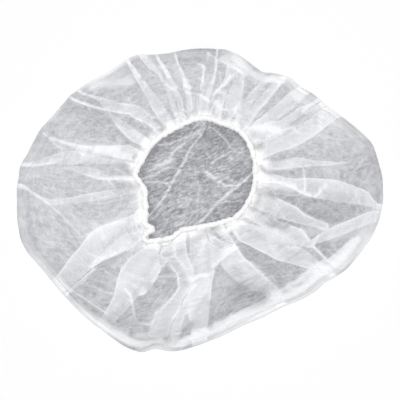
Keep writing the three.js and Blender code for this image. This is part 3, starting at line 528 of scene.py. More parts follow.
# How light the crown is where it is seen through the border
CROWN_TONES = [
    # turn, tone
    (0, 0.15), (12, 0.26), (25, 0.38), (45, 0.32), (60, 0.28), (75, 0.28), (90, 0.32), (105, 0.37),
    (115, 0.36), (130, 0.24), (148, 0.2), (160, 0.36), (172, 0.34), (190, 0.34), (205, 0.36), (220, 0.18),
    (250, 0.16), (270, 0.12), (297, 0.04), (310, 0.08), (325, 0.18), (340, 0.08), (350, 0.05),
]

# Creases pressed into the crown and soft light patches on it, from the part's origin
CROWN_CREASES = [
    # strength, width, ((x, y), ...)
    (0.38, 5.5, ((48, 36), (44, 43), (38, 56))),
    (0.25, 6, ((-50, 28), (-38, 40), (-26, 51), (-18, 56))),
    (0.6, 0.9, ((6, 73), (0.5, 63.4), (-6.4, 54.9))),
    (0.9, 1.0, ((-6.4, 54.9), (-11.4, 47.8), (-18.5, 32.3), (-28, 16.5))),
    (0.8, 1.0, ((-28, 16.5), (-35, 3), (-44, -9), (-52, -17))),
    (0.5, 1.0, ((5, 73), (-2, 65.4), (-15, 56.2))),
    (0.85, 1.2, ((-15, 56.2), (-23.4, 49.9), (-28.3, 45), (-30.4, 38), (-42, 32), (-50, 29))),
    (0.6, 2.0, ((-2, 75), (5, 75))),
    (0.35, 2.5, ((-4, 53), (2, 55), (7, 54))),
    (0.35, 4.0, ((30, 41), (38, 44))),
    (0.45, 4.0, ((-40, -34), (-34, -37))),
    (0.75, 1.1, ((3, 75), (0, 69.6), (-8, 64), (-13.6, 61.8), (-24.8, 57.6), (-29, 55), (-41, 54.5))),
    (0.5, 1.0, ((0, 74.5), (-5, 72.4), (-8.7, 68.2), (-11.4, 62.5))),
    (0.75, 3.2, ((-28, 40), (-36, 36), (-44, 33))),
    (0.6, 1.0, ((-8, 66), (-15, 58), (-19, 51), (-28, 52))),
    (0.7, 1.2, ((-57, 21), (-44, 25), (-36, 31), (-27, 32))),
    (0.65, 1.2, ((-55, 17), (-42, 18), (-31, 16))),
    (0.35, 1.0, ((-48, 44), (-40, 40), (-33, 44))),
    (0.9, 1.1, ((54, 29), (46, 21), (38, 14))),
    (0.7, 1.1, ((38, 14), (30, 8), (20, 0), (9, -12), (3, -19), (-6, -27))),
    (0.8, 1.1, ((1, 31), (10, 25), (18, 19), (25, 14), (36, 14), (45, 19))),
    (0.6, 1.1, ((11, 36), (18, 41), (30, 48), (43, 47))),
    (0.5, 1.2, ((9, 72), (14.5, 69), (20, 64), (26, 59), (30, 52), (36, 48.7), (43, 47))),
    (0.4, 1.4, ((10, 75), (20, 73), (30, 68))),
    (0.4, 1.2, ((-37, -8), (-22, -2), (-8, 0), (4, -2))),
    (0.4, 1.2, ((-38, -15), (-26, -8), (-14, -5), (-2, -6))),
    (0.4, 3.5, ((-21, -24.5), (-7, -22))),
    (0.35, 3.5, ((-47, -1), (-41, -4))),
    (0.3, 1.4, ((-22, -18), (-10, -12), (6, -10))),
    (0.3, 1.4, ((14, 5), (28, 4), (42, 6))),
]


# ---------------------------------------------------------------- shape helpers

def from_mouth(turn, reach):
    angle = np.radians(turn)
    x = MOUTH_CENTRE[0] + reach * np.cos(angle)
    y = MOUTH_CENTRE[1] + reach * np.sin(angle)
    return x, y


def turns_about_mouth(x, y):
    return np.degrees(np.arctan2(y - MOUTH_CENTRE[1], x - MOUTH_CENTRE[0]))


def even_turns(count):
    return np.arange(count) * 360 / count


def wrap(turn):
    return (turn + 180) % 360 - 180


def smoothstep(low, high, value):
    share = np.clip((value - low) / (high - low), 0, 1)
    return share * share * (3 - 2 * share)


def bell(value, half_width, power=2):
    return np.exp(-(value / half_width) ** power)


def reach_function(xy):
    """The reach for any turn, from a closed ring of points."""
    turn = turns_about_mouth(xy[:, 0], xy[:, 1]) % 360
    reach = np.hypot(xy[:, 0] - MOUTH_CENTRE[0], xy[:, 1] - MOUTH_CENTRE[1])
    order = np.argsort(turn)
    return lambda any_turn: np.interp(any_turn % 360, turn[order], reach[order], period=360)


def outline_points(per_run=24):
    """Straight runs between the outline's corners, each corner rounded off."""
    corners = np.array([from_mouth(turn, reach) for turn, reach in OUTLINE_CORNERS])
    share = np.linspace(0, 1, per_run)[:, None]
    runs = []
    for index, corner in enumerate(corners):
        before = corners[index - 1]
        after = corners[(index + 1) % len(corners)]
        ease_in = min(0.45, CORNER_SOFTNESS / np.hypot(*(before - corner)))
        ease_out = min(0.45, CORNER_SOFTNESS / np.hypot(*(after - corner)))
        start = corner + (before - corner) * ease_in
        end = corner + (after - corner) * ease_out
        runs.append((1 - share) ** 2 * start + 2 * share * (1 - share) * corner + share ** 2 * end)
    return np.vstack(runs)


def hermite(share, start, end, start_slope, end_slope):
    """From start to end as share goes from 0 to 1, leaving and arriving with the slopes given."""
    return ((1 + 2 * share) * (1 - share) ** 2 * start + share * (1 - share) ** 2 * start_slope
            + share ** 2 * (3 - 2 * share) * end + share ** 2 * (share - 1) * end_slope)


def closed_curve(points, steps_each=16):
    """A smooth closed curve through the points, centripetal as the solid's hem is."""
    points = np.asarray(points, float)
    count = len(points)
    out = []
    for index in range(count):
        p0, p1, p2, p3 = (points[(index + step) % count] for step in (-1, 0, 1, 2))
        k01, k12, k23 = (np.linalg.norm(b - a) ** 0.5 for a, b in ((p0, p1), (p1, p2), (p2, p3)))
        slope_1 = k12 * ((p1 - p0) / k01 - (p2 - p0) / (k01 + k12) + (p2 - p1) / k12)
        slope_2 = k12 * ((p2 - p1) / k12 - (p3 - p1) / (k12 + k23) + (p3 - p2) / k23)
        out += [hermite(step / steps_each, p1, p2, slope_1, slope_2) for step in range(steps_each)]
    return np.array(out)


def bend_through(at, known, values):
    """Values read smoothly off a short row of stations; known rises."""
    known = np.asarray(known, float)
    values = np.asarray(values, float)
    if len(known) > 2:
        slopes = np.gradient(values, known)
    else:
        slopes = np.full(2, np.diff(values)[0] / np.diff(known)[0])
    at = np.clip(at, known[0], known[-1])
    index = np.clip(np.searchsorted(known, at, side="right") - 1, 0, len(known) - 2)
    run = known[index + 1] - known[index]
    share = (at - known[index]) / run
    return hermite(share, values[index], values[index + 1], run * slopes[index], run * slopes[index + 1])


def soft_ring(values, reach):
    """Values round a ring, evened out over a few neighbours."""
    window = np.hanning(2 * reach + 3)[1:-1]
    padded = np.concatenate([values[-reach:], values, values[:reach]])
    return np.convolve(padded, window / window.sum(), "valid")


outline_reach = reach_function(outline_points())
mouth_reach = reach_function(closed_curve([from_mouth(*point) for point in sorted(MOUTH + KINK_EDGE)]))


def rim_bump(turn):
    return sum(push * bell(wrap(turn - middle), half) for middle, push, half in RIM_BUMPS)


def border_reach(turn, inward):
    """Reach at a share of the way in from the outer bend to the hem."""
    outer = outline_reach(turn) - FOLD_DEPTH
    inner = mouth_reach(turn) - RIM_INSET
    return outer + (inner - outer) * inward + rim_bump(turn) * (1 - inward) ** 4


def hem_height(turn):
    return HEM_HEIGHT + HEM_SWAY * np.sin(np.radians(2 * turn + HEM_SWAY_START))


# ---------------------------------------------------------------- folding the cloth

def lap(place):
    """How far cloth at this place across a pleat is drawn over; -1 and 1 are its feet."""
    return place * np.clip(1 - place * place, 0, None) ** 2


def lap_height(place):
    """Height through a pleat: the underlay, the return over it, the top, and back down."""
    return smoothstep(-0.75, 0.5, place) * (1 - smoothstep(0.55, 1.0, place))


def lap_white(place):
    """Whitest along a pleat's upper turned edge, and less across its top and along its lower edge."""
    upper = bell(place - TURNING_PLACE, 0.12)
    under = bell(place + TURNING_PLACE, 0.12)
    top = smoothstep(TURNING_PLACE - 0.1, TURNING_PLACE, place) * (1 - smoothstep(TURNING_PLACE, 0.95, place))
    return np.maximum(0.85 * upper, np.maximum(0.3 * under, 0.52 * top))


class Cloth:
    """The border's points while they are folded: turn, inward, height and whitening."""

    def __init__(self, turn, inward):
        self.turn = turn
        self.inward = inward
        self.height = np.zeros_like(turn)
        self.white = np.zeros_like(turn)

    def raise_lap(self, place, depth, lie, lift):
        """Raises and whitens the cloth where it is about to be lapped."""
        share = np.sqrt(np.clip(depth / DEEP_FOLD, 0, 1))
        self.height += lift * share * lap_height(lie * place)
        self.white = np.maximum(self.white, share * lap_white(lie * place))

    def pleat(self, lie, lift, stations, deep=DEEP_FOLD):
        """Laps the cloth over itself between two edges that run inwards."""
        start = stations[0][0]
        end = stations[-1][0]
        centre, across = pleat_at(stations, self.inward)
        half = across / LAP_SHARE
        width = np.radians(across) * border_reach(centre, self.inward)
        if start < FROM_RIM:
            fade = smoothstep(-BEND_SHARE, -0.5 * BEND_SHARE, self.inward)
        else:
            fade = smoothstep(start - PLEAT_FADE, start + PLEAT_FADE, self.inward)
        if end < TO_HEM:
            fade = fade * (1 - smoothstep(end - PLEAT_FADE, end + PLEAT_FADE, self.inward))
        depth = deep * fade * smoothstep(*LAP_WIDTHS, width)
        place = wrap(self.turn - centre) / half
        self.raise_lap(place, depth, lie, lift)
        self.turn = self.turn - depth * half * lap(place)

    def tuck(self, lie, lift, stations):
        """Laps the cloth over itself along a line that runs round the border."""
        known, inwards, widths = zip(*stations)
        start, end = known[0], known[-1]
        middle = 0.5 * (start + end)
        turn = middle + wrap(self.turn - middle)
        centre = bend_through(turn, known, inwards)
        width = np.interp(turn, known, widths)
        fade = smoothstep(start - 1, start + 3, turn) * (1 - smoothstep(end - 3, end + 1, turn))
        depth = DEEP_FOLD * fade * smoothstep(*TUCK_WIDTHS, width)
        half = width / LAP_SHARE / (border_reach(turn, 0) - border_reach(turn, 1))
        place = (self.inward - centre) / half
        self.raise_lap(place, depth, -lie, lift)
        self.inward = self.inward - depth * half * lap(place)


def pleat_at(stations, inward):
    """The turn midway between a pleat's two edges, and the angle between them."""
    known, low, high = zip(*stations)
    low = np.interp(inward, known, low)
    high = np.interp(inward, known, high)
    return 0.5 * (low + high), high - low


def runs_in(stations):
    """Whether a pleat runs far enough and straight enough in for the grain to follow it."""
    (start, *first), (end, *last) = stations[0], stations[-1]
    return end - start > 0.3 and abs(sum(last) - sum(first)) / 2 / (end - start) < 32


def follow_pleats(columns, inward):
    """Where each column of the cloth's grain lies, so that the columns run along the pleats."""
    guides = [stations for lie, lift, stations in PLEATS if runs_in(stations)]
    guides.sort(key=lambda stations: float(pleat_at(stations, 0.5)[0]))
    home = np.array([float(pleat_at(stations, 0.5)[0]) for stations in guides])
    step = 0.5 * np.arange(len(guides))
    out = np.empty_like(columns)
    for row in range(len(columns)):
        at = np.array([float(pleat_at(stations, inward[row, 0])[0]) for stations in guides])
        at = np.maximum.accumulate(at - step) + step
        out[row] = columns[row] + soft_ring(np.interp(columns[row], home, at - home, period=360), 9)
    return out


def column_turns():
    """Turns of the cloth's columns, closer together where pleats are narrow."""
    fine = np.arange(0, 360, 0.1)
    density = np.ones_like(fine)
    for lie, lift, stations in PLEATS:
        middle, across = pleat_at(stations, 0.5)
        half = across / LAP_SHARE
        wanted = min(2.2, 4.0 / half + 0.4)
        near = np.abs(wrap(fine - middle)) < half + 0.3
        density[near] = np.maximum(density[near], wanted)
    density = soft_ring(density, 12)
    run = np.concatenate([[0], np.cumsum(density)])
    share = np.arange(BORDER_COLUMNS) / BORDER_COLUMNS * run[-1]
    return np.interp(share, run, np.append(fine, 360))


def gather_pleats(cloth, seed, count, reach_range, mouth_width, far_width, slant, lift, deep):
    """Small pleats left to chance round the mouth, as an elastic gathers them."""
    draw = np.random.default_rng(seed)
    for index in range(count):
        turn = (index + draw.uniform(-0.35, 0.35)) * 360 / count
        far = draw.uniform(*reach_range)
        drift = draw.normal(0, slant)
        near = draw.uniform(*mouth_width)
        wide = draw.uniform(*far_width)
        lie = draw.choice([-1, 1])
        stations = []
        for inward, middle, width in (
            (1 - far, turn + drift, wide * 0.4), (1 - far * 0.4, turn + drift * 0.3, wide), (1, turn, near),
        ):
            half = math.degrees(0.5 * width / float(border_reach(middle, inward)))
            stations.append((inward, middle - half, middle + half))
        cloth.pleat(lie, lift, stations, deep)


# ---------------------------------------------------------------- creases

def line_strength(x, y, lines):
    """The strongest line's strength at each point: full on a line, and a third of it a width away."""
    total = np.zeros_like(x)
    for strength, width, points in lines:
        margin = 2.5 * width
        for (ax, ay), (bx, by) in zip(points[:-1], points[1:]):
            near = ((x > min(ax, bx) - margin) & (x < max(ax, bx) + margin)
                    & (y > min(ay, by) - margin) & (y < max(ay, by) + margin))
            px, py = x[near], y[near]
            run = math.hypot(bx - ax, by - ay)
            share = np.clip(((px - ax) * (bx - ax) + (py - ay) * (by - ay)) / run ** 2, 0, 1)
            away = np.hypot(px - ax - share * (bx - ax), py - ay - share * (by - ay))
            total[near] = np.maximum(total[near], strength * bell(away, width))
    return total


def on_border(table, steps=3):
    """A table of border lines as smooth lines in millimetres."""
    lines = []
    for strength, width, stations in table:
        last = len(stations) - 1
        order = np.linspace(0, last, steps * last + 1)
        turns, inwards = (bend_through(order, np.arange(last + 1), column) for column in zip(*stations))
        lines.append((strength, width, list(zip(*from_mouth(turns, border_reach(turns, inwards))))))
    return lines


def chance_creases(count, seed):
    """Short creases left to chance, most of them running towards the mouth."""
    draw = np.random.default_rng(seed)
    lines = []
    for index in range(count):
        turn = (index + draw.uniform(-0.5, 0.5)) * 360 / count
        far = draw.uniform(0.05, 0.75)
        near = far + draw.uniform(0.1, 0.35)
        drift = draw.normal(0, 3.5)
        bend = draw.normal(0, 0.8)
        inward = np.array([far, 0.5 * (far + near), near])
        turns = turn + np.array([drift, 0.4 * drift + bend, 0])
        points = list(zip(*from_mouth(turns, border_reach(turns, inward))))
        lines.append((draw.uniform(0.15, 0.5), 0.9, points))
    return lines


def chance_crumples(count, seed, half_width, half_depth, spread, lie=24):
    """Faint short creases scattered about the mouth's centre, lying at about one angle."""
    draw = np.random.default_rng(seed)
    lines = []
    for _ in range(count):
        x = MOUTH_CENTRE[0] + draw.uniform(-half_width, half_width)
        y = MOUTH_CENTRE[1] + draw.uniform(-half_depth, half_depth)
        angle = math.radians(draw.normal(lie, spread))
        bend = draw.uniform(-0.3, 0.3)
        points = [(x, y)]
        for _ in range(4):
            step = draw.uniform(3, 6)
            x, y = x + step * math.cos(angle), y + step * math.sin(angle)
            angle += bend * 0.6
            points.append((x, y))
        lines.append((draw.uniform(0.08, 0.3), draw.uniform(0.6, 1.1), points))
    return lines


def rim_white(turn, reach, angle):
    """Whitening just inside the outer bend, where the cloth is turned and rolled."""
    deep = outline_reach(turn) + rim_bump(turn) - reach
    turns, *columns = np.array(RIM_ROLL).T
    middle, half, roll, edge = (np.interp(turn % 360, turns, column, period=360) for column in columns)
    white = np.maximum(roll * bell(deep - middle, half, 4), edge * bell(deep, 4, 4))
    return white * smoothstep(*RIM_WHITENS, np.degrees(angle))


# ---------------------------------------------------------------- the cloth

# A ring-shaped grid of points in millimetres, with the share of the way out over the crown or in
# over the border, and then what the cloth's material reads
Sheet = namedtuple("Sheet", "x y z place layer thick shade bare tone")

# What the material reads, with its value at the crown's middle
AT_CROWN_MIDDLE = {
    "layer": 0,    # 0 on the crown and 1 on the border over it
    "thick": 0,    # cloth that lies on cloth, or is whitened by a crease
    "shade": 0,    # in the shade of a fold, or of the hem
    "bare": 1,     # crown with no border over it
    "tone": 0.2,   # how light the crown is, and how closely the border is gathered
}


def swell(turn, inward, seed):
    """A slow random rise and fall over the border, from a few waves."""
    draw = np.random.default_rng(seed)
    total = np.zeros_like(turn)
    for _ in range(SWELL_WAVES):
        around = draw.integers(1, 8)
        across = draw.uniform(0.2, 2.0)
        phase = draw.uniform(0, 2 * math.pi)
        total += np.sin(np.radians(around * turn) + across * 2 * math.pi * inward + phase)
    return total / SWELL_WAVES ** 0.5


def border_height(turn, inward):
    inward = np.clip(inward, 0, 1)
    seat = hem_height(turn) - HEM_RADIUS * SEAT_SHARE
    hump = np.sin(np.pi * inward)
    return (FOLD_HEIGHT + (seat - FOLD_HEIGHT) * inward ** BORDER_CLIMB + BORDER_BILLOW * hump
            + SWELL_HEIGHT * swell(turn, inward, SEED + 1) * hump ** 0.5)


def border_sheet():
    """Rows of the cloth from the crown's edge round the outer bend and in to the mouth."""
    bend = np.linspace(-BEND_SHARE, 0, BEND_ROWS + 1)[:-1]
    turn, rows = np.meshgrid(column_turns(), np.concatenate([bend, np.linspace(0, 1, BORDER_ROWS)]))
    angle = np.radians(90 + np.minimum(rows, 0) / BEND_SHARE * 180)
    cloth = Cloth(follow_pleats(turn, rows), rows)
    for seed, row in enumerate(GATHERS, SEED + 2):
        gather_pleats(cloth, seed, *row)
    for row in TUCKS:
        cloth.tuck(*row)
    for row in PLEATS:
        cloth.pleat(*row)

    at_hem = smoothstep(*HEM_SETTLES, rows)
    folded = np.clip(cloth.inward, 0, None) * (1 - at_hem) + np.clip(rows, 0, 1) * at_hem
    reach = border_reach(cloth.turn, folded) + FOLD_DEPTH * np.cos(angle)
    x, y = from_mouth(cloth.turn, reach)
    lines = on_border(BORDER_CREASES) + chance_creases(150, SEED + 4)
    lines += chance_crumples(300, SEED + 6, half_width=180, half_depth=165, spread=70)
    white = np.maximum(line_strength(x, y, lines), rim_white(cloth.turn, reach, angle))
    white = np.maximum(white, cloth.white)
    bend_height = CROWN_LIFT + (FOLD_HEIGHT - CROWN_LIFT) * (0.5 + 0.5 * np.sin(angle))
    z = np.where(rows < 0, bend_height, border_height(cloth.turn, folded))
    z = z + cloth.height * smoothstep(*LAPS_RISE, rows) + CREASE_LIFT * white

    shade = line_strength(x, y, on_border(BORDER_SHADES)) * smoothstep(*SHADE_BEGINS, rows)
    white = np.maximum(white, line_strength(x, y, on_border(BORDER_HAZE)))
    white = np.maximum(white, 0.9 * smoothstep(*HEM_WHITENS, rows)) * (1 - 0.8 * shade)
    return Sheet(
        x, y, z, place=rows,
        layer=smoothstep(*LAYER_TURNS, np.degrees(angle)),
        thick=np.maximum(white, 0.75 * smoothstep(*HEM_THICKENS, rows)),
        shade=shade,
        bare=np.zeros_like(x),
        tone=smoothstep(*HEM_GATHERS, rows) * (1 - shade))


def crown_sheet(outer_turns):
    """Rings of the crown, from near its middle to the outer bend."""
    columns = even_turns(CROWN_COLUMNS)
    fine_step = np.linspace(0, 1, CROWN_FINE_RINGS) ** CROWN_SPACING
    fine = CROWN_POLE + (CROWN_FINE_SHARE - CROWN_POLE) * fine_step
    wide = np.linspace(CROWN_FINE_SHARE, 1, CROWN_WIDE_RINGS + 2)[1:-1]
    turn, share = np.meshgrid(columns, np.concatenate([fine, wide]))
    turn = turn + wrap(outer_turns - columns) * smoothstep(CROWN_FINE_SHARE, 1, share)
    reach = (outline_reach(turn) - FOLD_DEPTH) * share + rim_bump(turn) * smoothstep(0.6, 1, share)
    x, y = from_mouth(turn, reach)
    crumples = chance_crumples(110, SEED + 5, half_width=60, half_depth=60, spread=22)
    white = line_strength(x, y, CROWN_CREASES + crumples)
    beyond = reach - mouth_reach(turn)
    bare = 1 - smoothstep(0, BARE_FADE, beyond)
    seen_through = np.interp(turn, *zip(*CROWN_TONES), period=360)
    return Sheet(
        x, y, z=CROWN_LIFT + CROWN_CREASE_LIFT * white, place=share,
        layer=np.zeros_like(x),
        thick=white,
        shade=bell(beyond + 1, HEM_SHADOW),
        bare=bare,
        tone=bare * BARE_TONE + (1 - bare) * seen_through + CROWN_EDGE_TONE * smoothstep(*CROWN_EDGE, share))


def ring_faces(first, rows, columns):
    """Quads between rows of a ring-shaped grid whose first vertex is first."""
    row, column = np.meshgrid(np.arange(rows - 1), np.arange(columns), indexing="ij")
    here = first + row * columns + column
    beside = first + row * columns + (column + 1) % columns
    return np.stack([here, beside, beside + columns, here + columns], -1).reshape(-1, 4).tolist()


def bonnet_faces(crown_rings, border_rows):
    """Faces from the crown's middle out, round the outer bend and in to the mouth."""
    border_first = 1 + crown_rings * CROWN_COLUMNS
    last_ring = border_first - CROWN_COLUMNS
    faces = [(0, 1 + (column + 1) % CROWN_COLUMNS, 1 + column) for column in range(CROWN_COLUMNS)]
    faces += ring_faces(1, crown_rings, CROWN_COLUMNS)
    for column in range(CROWN_COLUMNS):
        a = last_ring + column
        b = last_ring + (column + 1) % CROWN_COLUMNS
        left = border_first + 2 * column
        middle = left + 1
        right = border_first + (2 * column + 2) % BORDER_COLUMNS
        faces += [(a, b, middle), (a, middle, left), (b, right, middle)]
    return faces + ring_faces(border_first, border_rows, BORDER_COLUMNS)


def make_bonnet():
    """The whole cap as one sheet; its crown is shaded smooth and its border keeps crisp facets."""
    border = border_sheet()
    crown = crown_sheet(turns_about_mouth(border.x[0], border.y[0])[::2])
    grids = [np.stack([sheet.x, sheet.y, sheet.z], -1).reshape(-1, 3) for sheet in (crown, border)]
    vertices = np.vstack([[(*MOUTH_CENTRE, CROWN_LIFT)]] + grids) * MM
    mesh = bpy.data.meshes.new("bonnet_cloth")
    mesh.from_pydata(vertices.tolist(), [], bonnet_faces(len(crown.x), len(border.x)))
    for name, middle_value in AT_CROWN_MIDDLE.items():
        values = joined(middle_value, getattr(crown, name), getattr(border, name))
        attribute = mesh.attributes.new(name, "FLOAT", "POINT")
        attribute.data.foreach_set("value", values.astype(np.float32))
    add_cut_map(mesh, crown, border)
    smooth = np.arange(len(mesh.polygons)) < CROWN_COLUMNS * len(crown.x)
    mesh.polygons.foreach_set("use_smooth", smooth)
    mesh.update()
    return put_in_scene("bonnet_cloth", mesh)


def joined(middle_value, crown_values, border_values):
    """One list of values in the order of the mesh's points."""
    return np.concatenate([[middle_value], crown_values.ravel(), border_values.ravel()])


def add_cut_map(mesh, crown, border):
    """Each point's place on the flat disc that the cap was cut as, kept as a UV map."""
    step = np.sqrt(sum((np.roll(v, -1, 1) - v) ** 2 for v in (border.x, border.y, border.z)))
    run = np.cumsum(step, 1)
    along = 2 * np.pi * (run - step) / run[:, -1:]
    past_bend = smoothstep(*CUT_EVENS, border.place)
    border_angle = np.radians(even_turns(BORDER_COLUMNS)) * (1 - past_bend) + along * past_bend
    crown_angle = np.radians(even_turns(CROWN_COLUMNS)) + np.zeros_like(crown.x)
    angle = joined(0, crown_angle, border_angle)

    outer = CUT_FOLD_RADIUS + CUT_BEND
    on_bend = outer + CUT_BEND * border.place / BEND_SHARE
    border_radius = np.where(border.place < 0, on_bend, outer + (CUT_RADIUS - outer) * border.place)
    radius = joined(0, crown.place * CUT_FOLD_RADIUS, border_radius)

    place = np.stack([radius * np.cos(angle), radius * np.sin(angle)], 1) * MM
    corners = np.empty(len(mesh.loops), np.int32)
    mesh.loops.foreach_get("vertex_index", corners)
    layer = mesh.uv_layers.new(name="cut")
    layer.data.foreach_set("uv", place[corners].astype(np.float32).ravel())


def put_in_scene(name, data):
    thing = bpy.data.objects.new(name, data)
    bpy.context.collection.objects.link(thing)
    return thing


# ---------------------------------------------------------------- nodes

def plug(tree, value, socket):
    """Feeds a socket with another node's output, or sets it to a number, a colour or a material."""
    if isinstance(value, bpy.types.NodeSocket):
        tree.links.new(value, socket)
    else:
        socket.default_value = value


def add_node(tree, kind, inputs=None, **settings):
    """A new node with its settings made and its inputs fed."""
    node = tree.nodes.new(kind)
    for name, value in settings.items():
        setattr(node, name, value)
    for name, value in (inputs or {}).items():
        plug(tree, value, node.inputs[name])
    return node


def calculate(tree, operation, *values):
    """A Math node's result."""
    return add_node(tree, "ShaderNodeMath", dict(enumerate(values)), operation=operation).outputs[0]


def weigh(tree, *pairs):
    """The sum of each value times its weight."""
    parts = [value if weight == 1 else calculate(tree, "MULTIPLY", value, weight) for value, weight in pairs]
    total = parts[0]
    for part in parts[1:]:
        total = calculate(tree, "ADD", total, part)
    return total


def remap(tree, value, low, high, to_low, to_high):
    """A Map Range node's result."""
    inputs = {"Value": value, "From Min": low, "From Max": high, "To Min": to_low, "To Max": to_high}
    return add_node(tree, "ShaderNodeMapRange", inputs).outputs[0]


def mix(tree, kind, factor, first, second):
    """A Mix node's result. The node has sockets named A and B for every kind of value."""
    node = add_node(tree, "ShaderNodeMix", data_type=kind)
    socket_type = {"FLOAT": "VALUE", "RGBA": "RGBA"}[kind]
    plug(tree, factor, next(s for s in node.inputs if s.name == "Factor" and s.type == "VALUE"))
    for name, value in (("A", first), ("B", second)):
        plug(tree, value, next(s for s in node.inputs if s.name == name and s.type == socket_type))
    return next(s for s in node.outputs if s.type == socket_type)


def new_group(name, kind, inputs, outputs):
    """A node group with its sockets, its input node's outputs and its output node's inputs."""
    tree = bpy.data.node_groups.new(name, kind)
    for in_out, sockets in (("INPUT", inputs), ("OUTPUT", outputs)):
        for socket_name, socket_kind in sockets.items():
            tree.interface.new_socket(socket_name, in_out=in_out, socket_type="NodeSocket" + socket_kind)
    return tree, tree.nodes.new("NodeGroupInput").outputs, tree.nodes.new("NodeGroupOutput").inputs


# ---------------------------------------------------------------- the hem

def bunched_roll():
    """Geometry nodes: a roll of cloth along every spline of a curve, bunched as elastic bunches it."""
    tree, given, result = new_group("bunched_roll", "GeometryNodeTree", {
        "Path": "Geometry", "Step": "Float", "Width": "Float", "Height": "Float",
        "Bunch Length": "Float", "Bunch Depth": "Float", "Seed": "Float", "Material": "Material",
    }, {"Roll": "Geometry"})
    node = partial(add_node, tree)

    def ripple(place, detail):
        """Slow noise about 0, a bunch long."""
        scale = calculate(tree, "DIVIDE", 1.0, given["Bunch Length"])
        noise = node("ShaderNodeTexNoise", {
            "Vector": place, "W": given["Seed"], "Scale": scale, "Detail": detail,
        }, noise_dimensions="4D")
        return calculate(tree, "SUBTRACT", noise.outputs[0], 0.5)

    path = node("GeometryNodeResampleCurve", {"Curve": given["Path"], "Length": given["Step"]}, mode="LENGTH")
    path = node("GeometryNodeSetCurveNormal", {"Curve": path.outputs["Curve"]}, mode="Z_UP")
    path = node("GeometryNodeCaptureAttribute", {"Geometry": path.outputs["Curve"]}, domain="POINT")
    path.capture_items.new("VECTOR", "middle")
    plug(tree, node("GeometryNodeInputPosition").outputs[0], path.inputs["middle"])

    circle = node("GeometryNodeCurvePrimitiveCircle", {"Resolution": HEM_SIDES, "Radius": 0.5})
    size = node("ShaderNodeCombineXYZ", {"X": given["Width"], "Y": given["Height"], "Z": 1.0})
    section = node("GeometryNodeTransform", {"Geometry": circle.outputs["Curve"], "Scale": size.outputs[0]})
    tube = node("GeometryNodeCurveToMesh", {
        "Curve": path.outputs["Geometry"], "Profile Curve": section.outputs["Geometry"]})

    across = ripple(path.outputs["middle"], 1.0)
    lumps = ripple(node("GeometryNodeInputPosition").outputs[0], 2.0)
    swollen = calculate(tree, "MULTIPLY", weigh(tree, (across, 1.4), (lumps, 1.6)), given["Bunch Depth"])
    outwards = node("GeometryNodeInputNormal").outputs[0]
    shift = node("ShaderNodeVectorMath", {0: outwards, "Scale": swollen}, operation="SCALE")
    roll = node("GeometryNodeSetPosition", {"Geometry": tube.outputs["Mesh"], "Offset": shift.outputs[0]})
    roll = node("GeometryNodeSetShadeSmooth", {"Geometry": roll.outputs["Geometry"]})
    roll = node("GeometryNodeRealizeInstances", {"Geometry": roll.outputs["Geometry"]})
    roll = node("GeometryNodeSetMaterial", {
        "Geometry": roll.outputs["Geometry"], "Material": given["Material"]})
    plug(tree, roll.outputs["Geometry"], result["Roll"])
    return tree


def hem_points():
    """The closed path of the hem, doubled back on itself at the kink."""
    rows = [(turn, reach, 0.0) for turn, reach in MOUTH]
    corner = [row[0] for row in rows].index(KINK_CORNER_TURN)
    rows[corner:corner + 1] = HEM_KINK
    return closed_curve([
        (*from_mouth(turn, reach - HEM_TURN_IN), hem_height(turn) + lift) for turn, reach, lift in rows])


def hem_path():
    curve = bpy.data.curves.new("hem_path", "CURVE")
    curve.dimensions = "3D"
    points = hem_points() * MM
    spline = curve.splines.new("POLY")
    spline.points.add(len(points) - 1)
    spline.use_cyclic_u = True
    for point, place in zip(spline.points, points):
        point.co = (*place, 1)
    return put_in_scene("hem_path", curve)


def make_hem(material):
    """The gathered roll of cloth round the elastic."""
    path = hem_path()
    tree = bunched_roll()
    roll = path.modifiers.new("roll", "NODES")
    roll.node_group = tree
    wanted = {
        "Step": HEM_STEP * MM, "Width": HEM_WIDTH * MM, "Height": HEM_THICKNESS * MM,
        "Bunch Length": BUNCH_LENGTH * MM, "Bunch Depth": BUNCH_DEPTH * MM,
        "Seed": float(SEED), "Material": material,
    }
    for socket in tree.interface.items_tree:
        if socket.item_type == "SOCKET" and socket.name in wanted:
            roll[socket.identifier] = wanted[socket.name]
    mesh = bpy.data.meshes.new_from_object(path.evaluated_get(bpy.context.evaluated_depsgraph_get()))
    mesh.name = "rolled_hem"
    path.modifiers.remove(roll)
    bpy.data.objects.remove(path)
    return put_in_scene("rolled_hem", mesh)


# ---------------------------------------------------------------- materials

def new_material(name, roughness, gloss, colour=None):
    material = bpy.data.materials.new(name)
    material.use_nodes = True
    shader = material.node_tree.nodes["Principled BSDF"]
    shader.inputs["Roughness"].default_value = roughness
    shader.inputs["Specular IOR Level"].default_value = gloss
    if colour:
        shader.inputs["Base Color"].default_value = colour
    return material, material.node_tree, shader


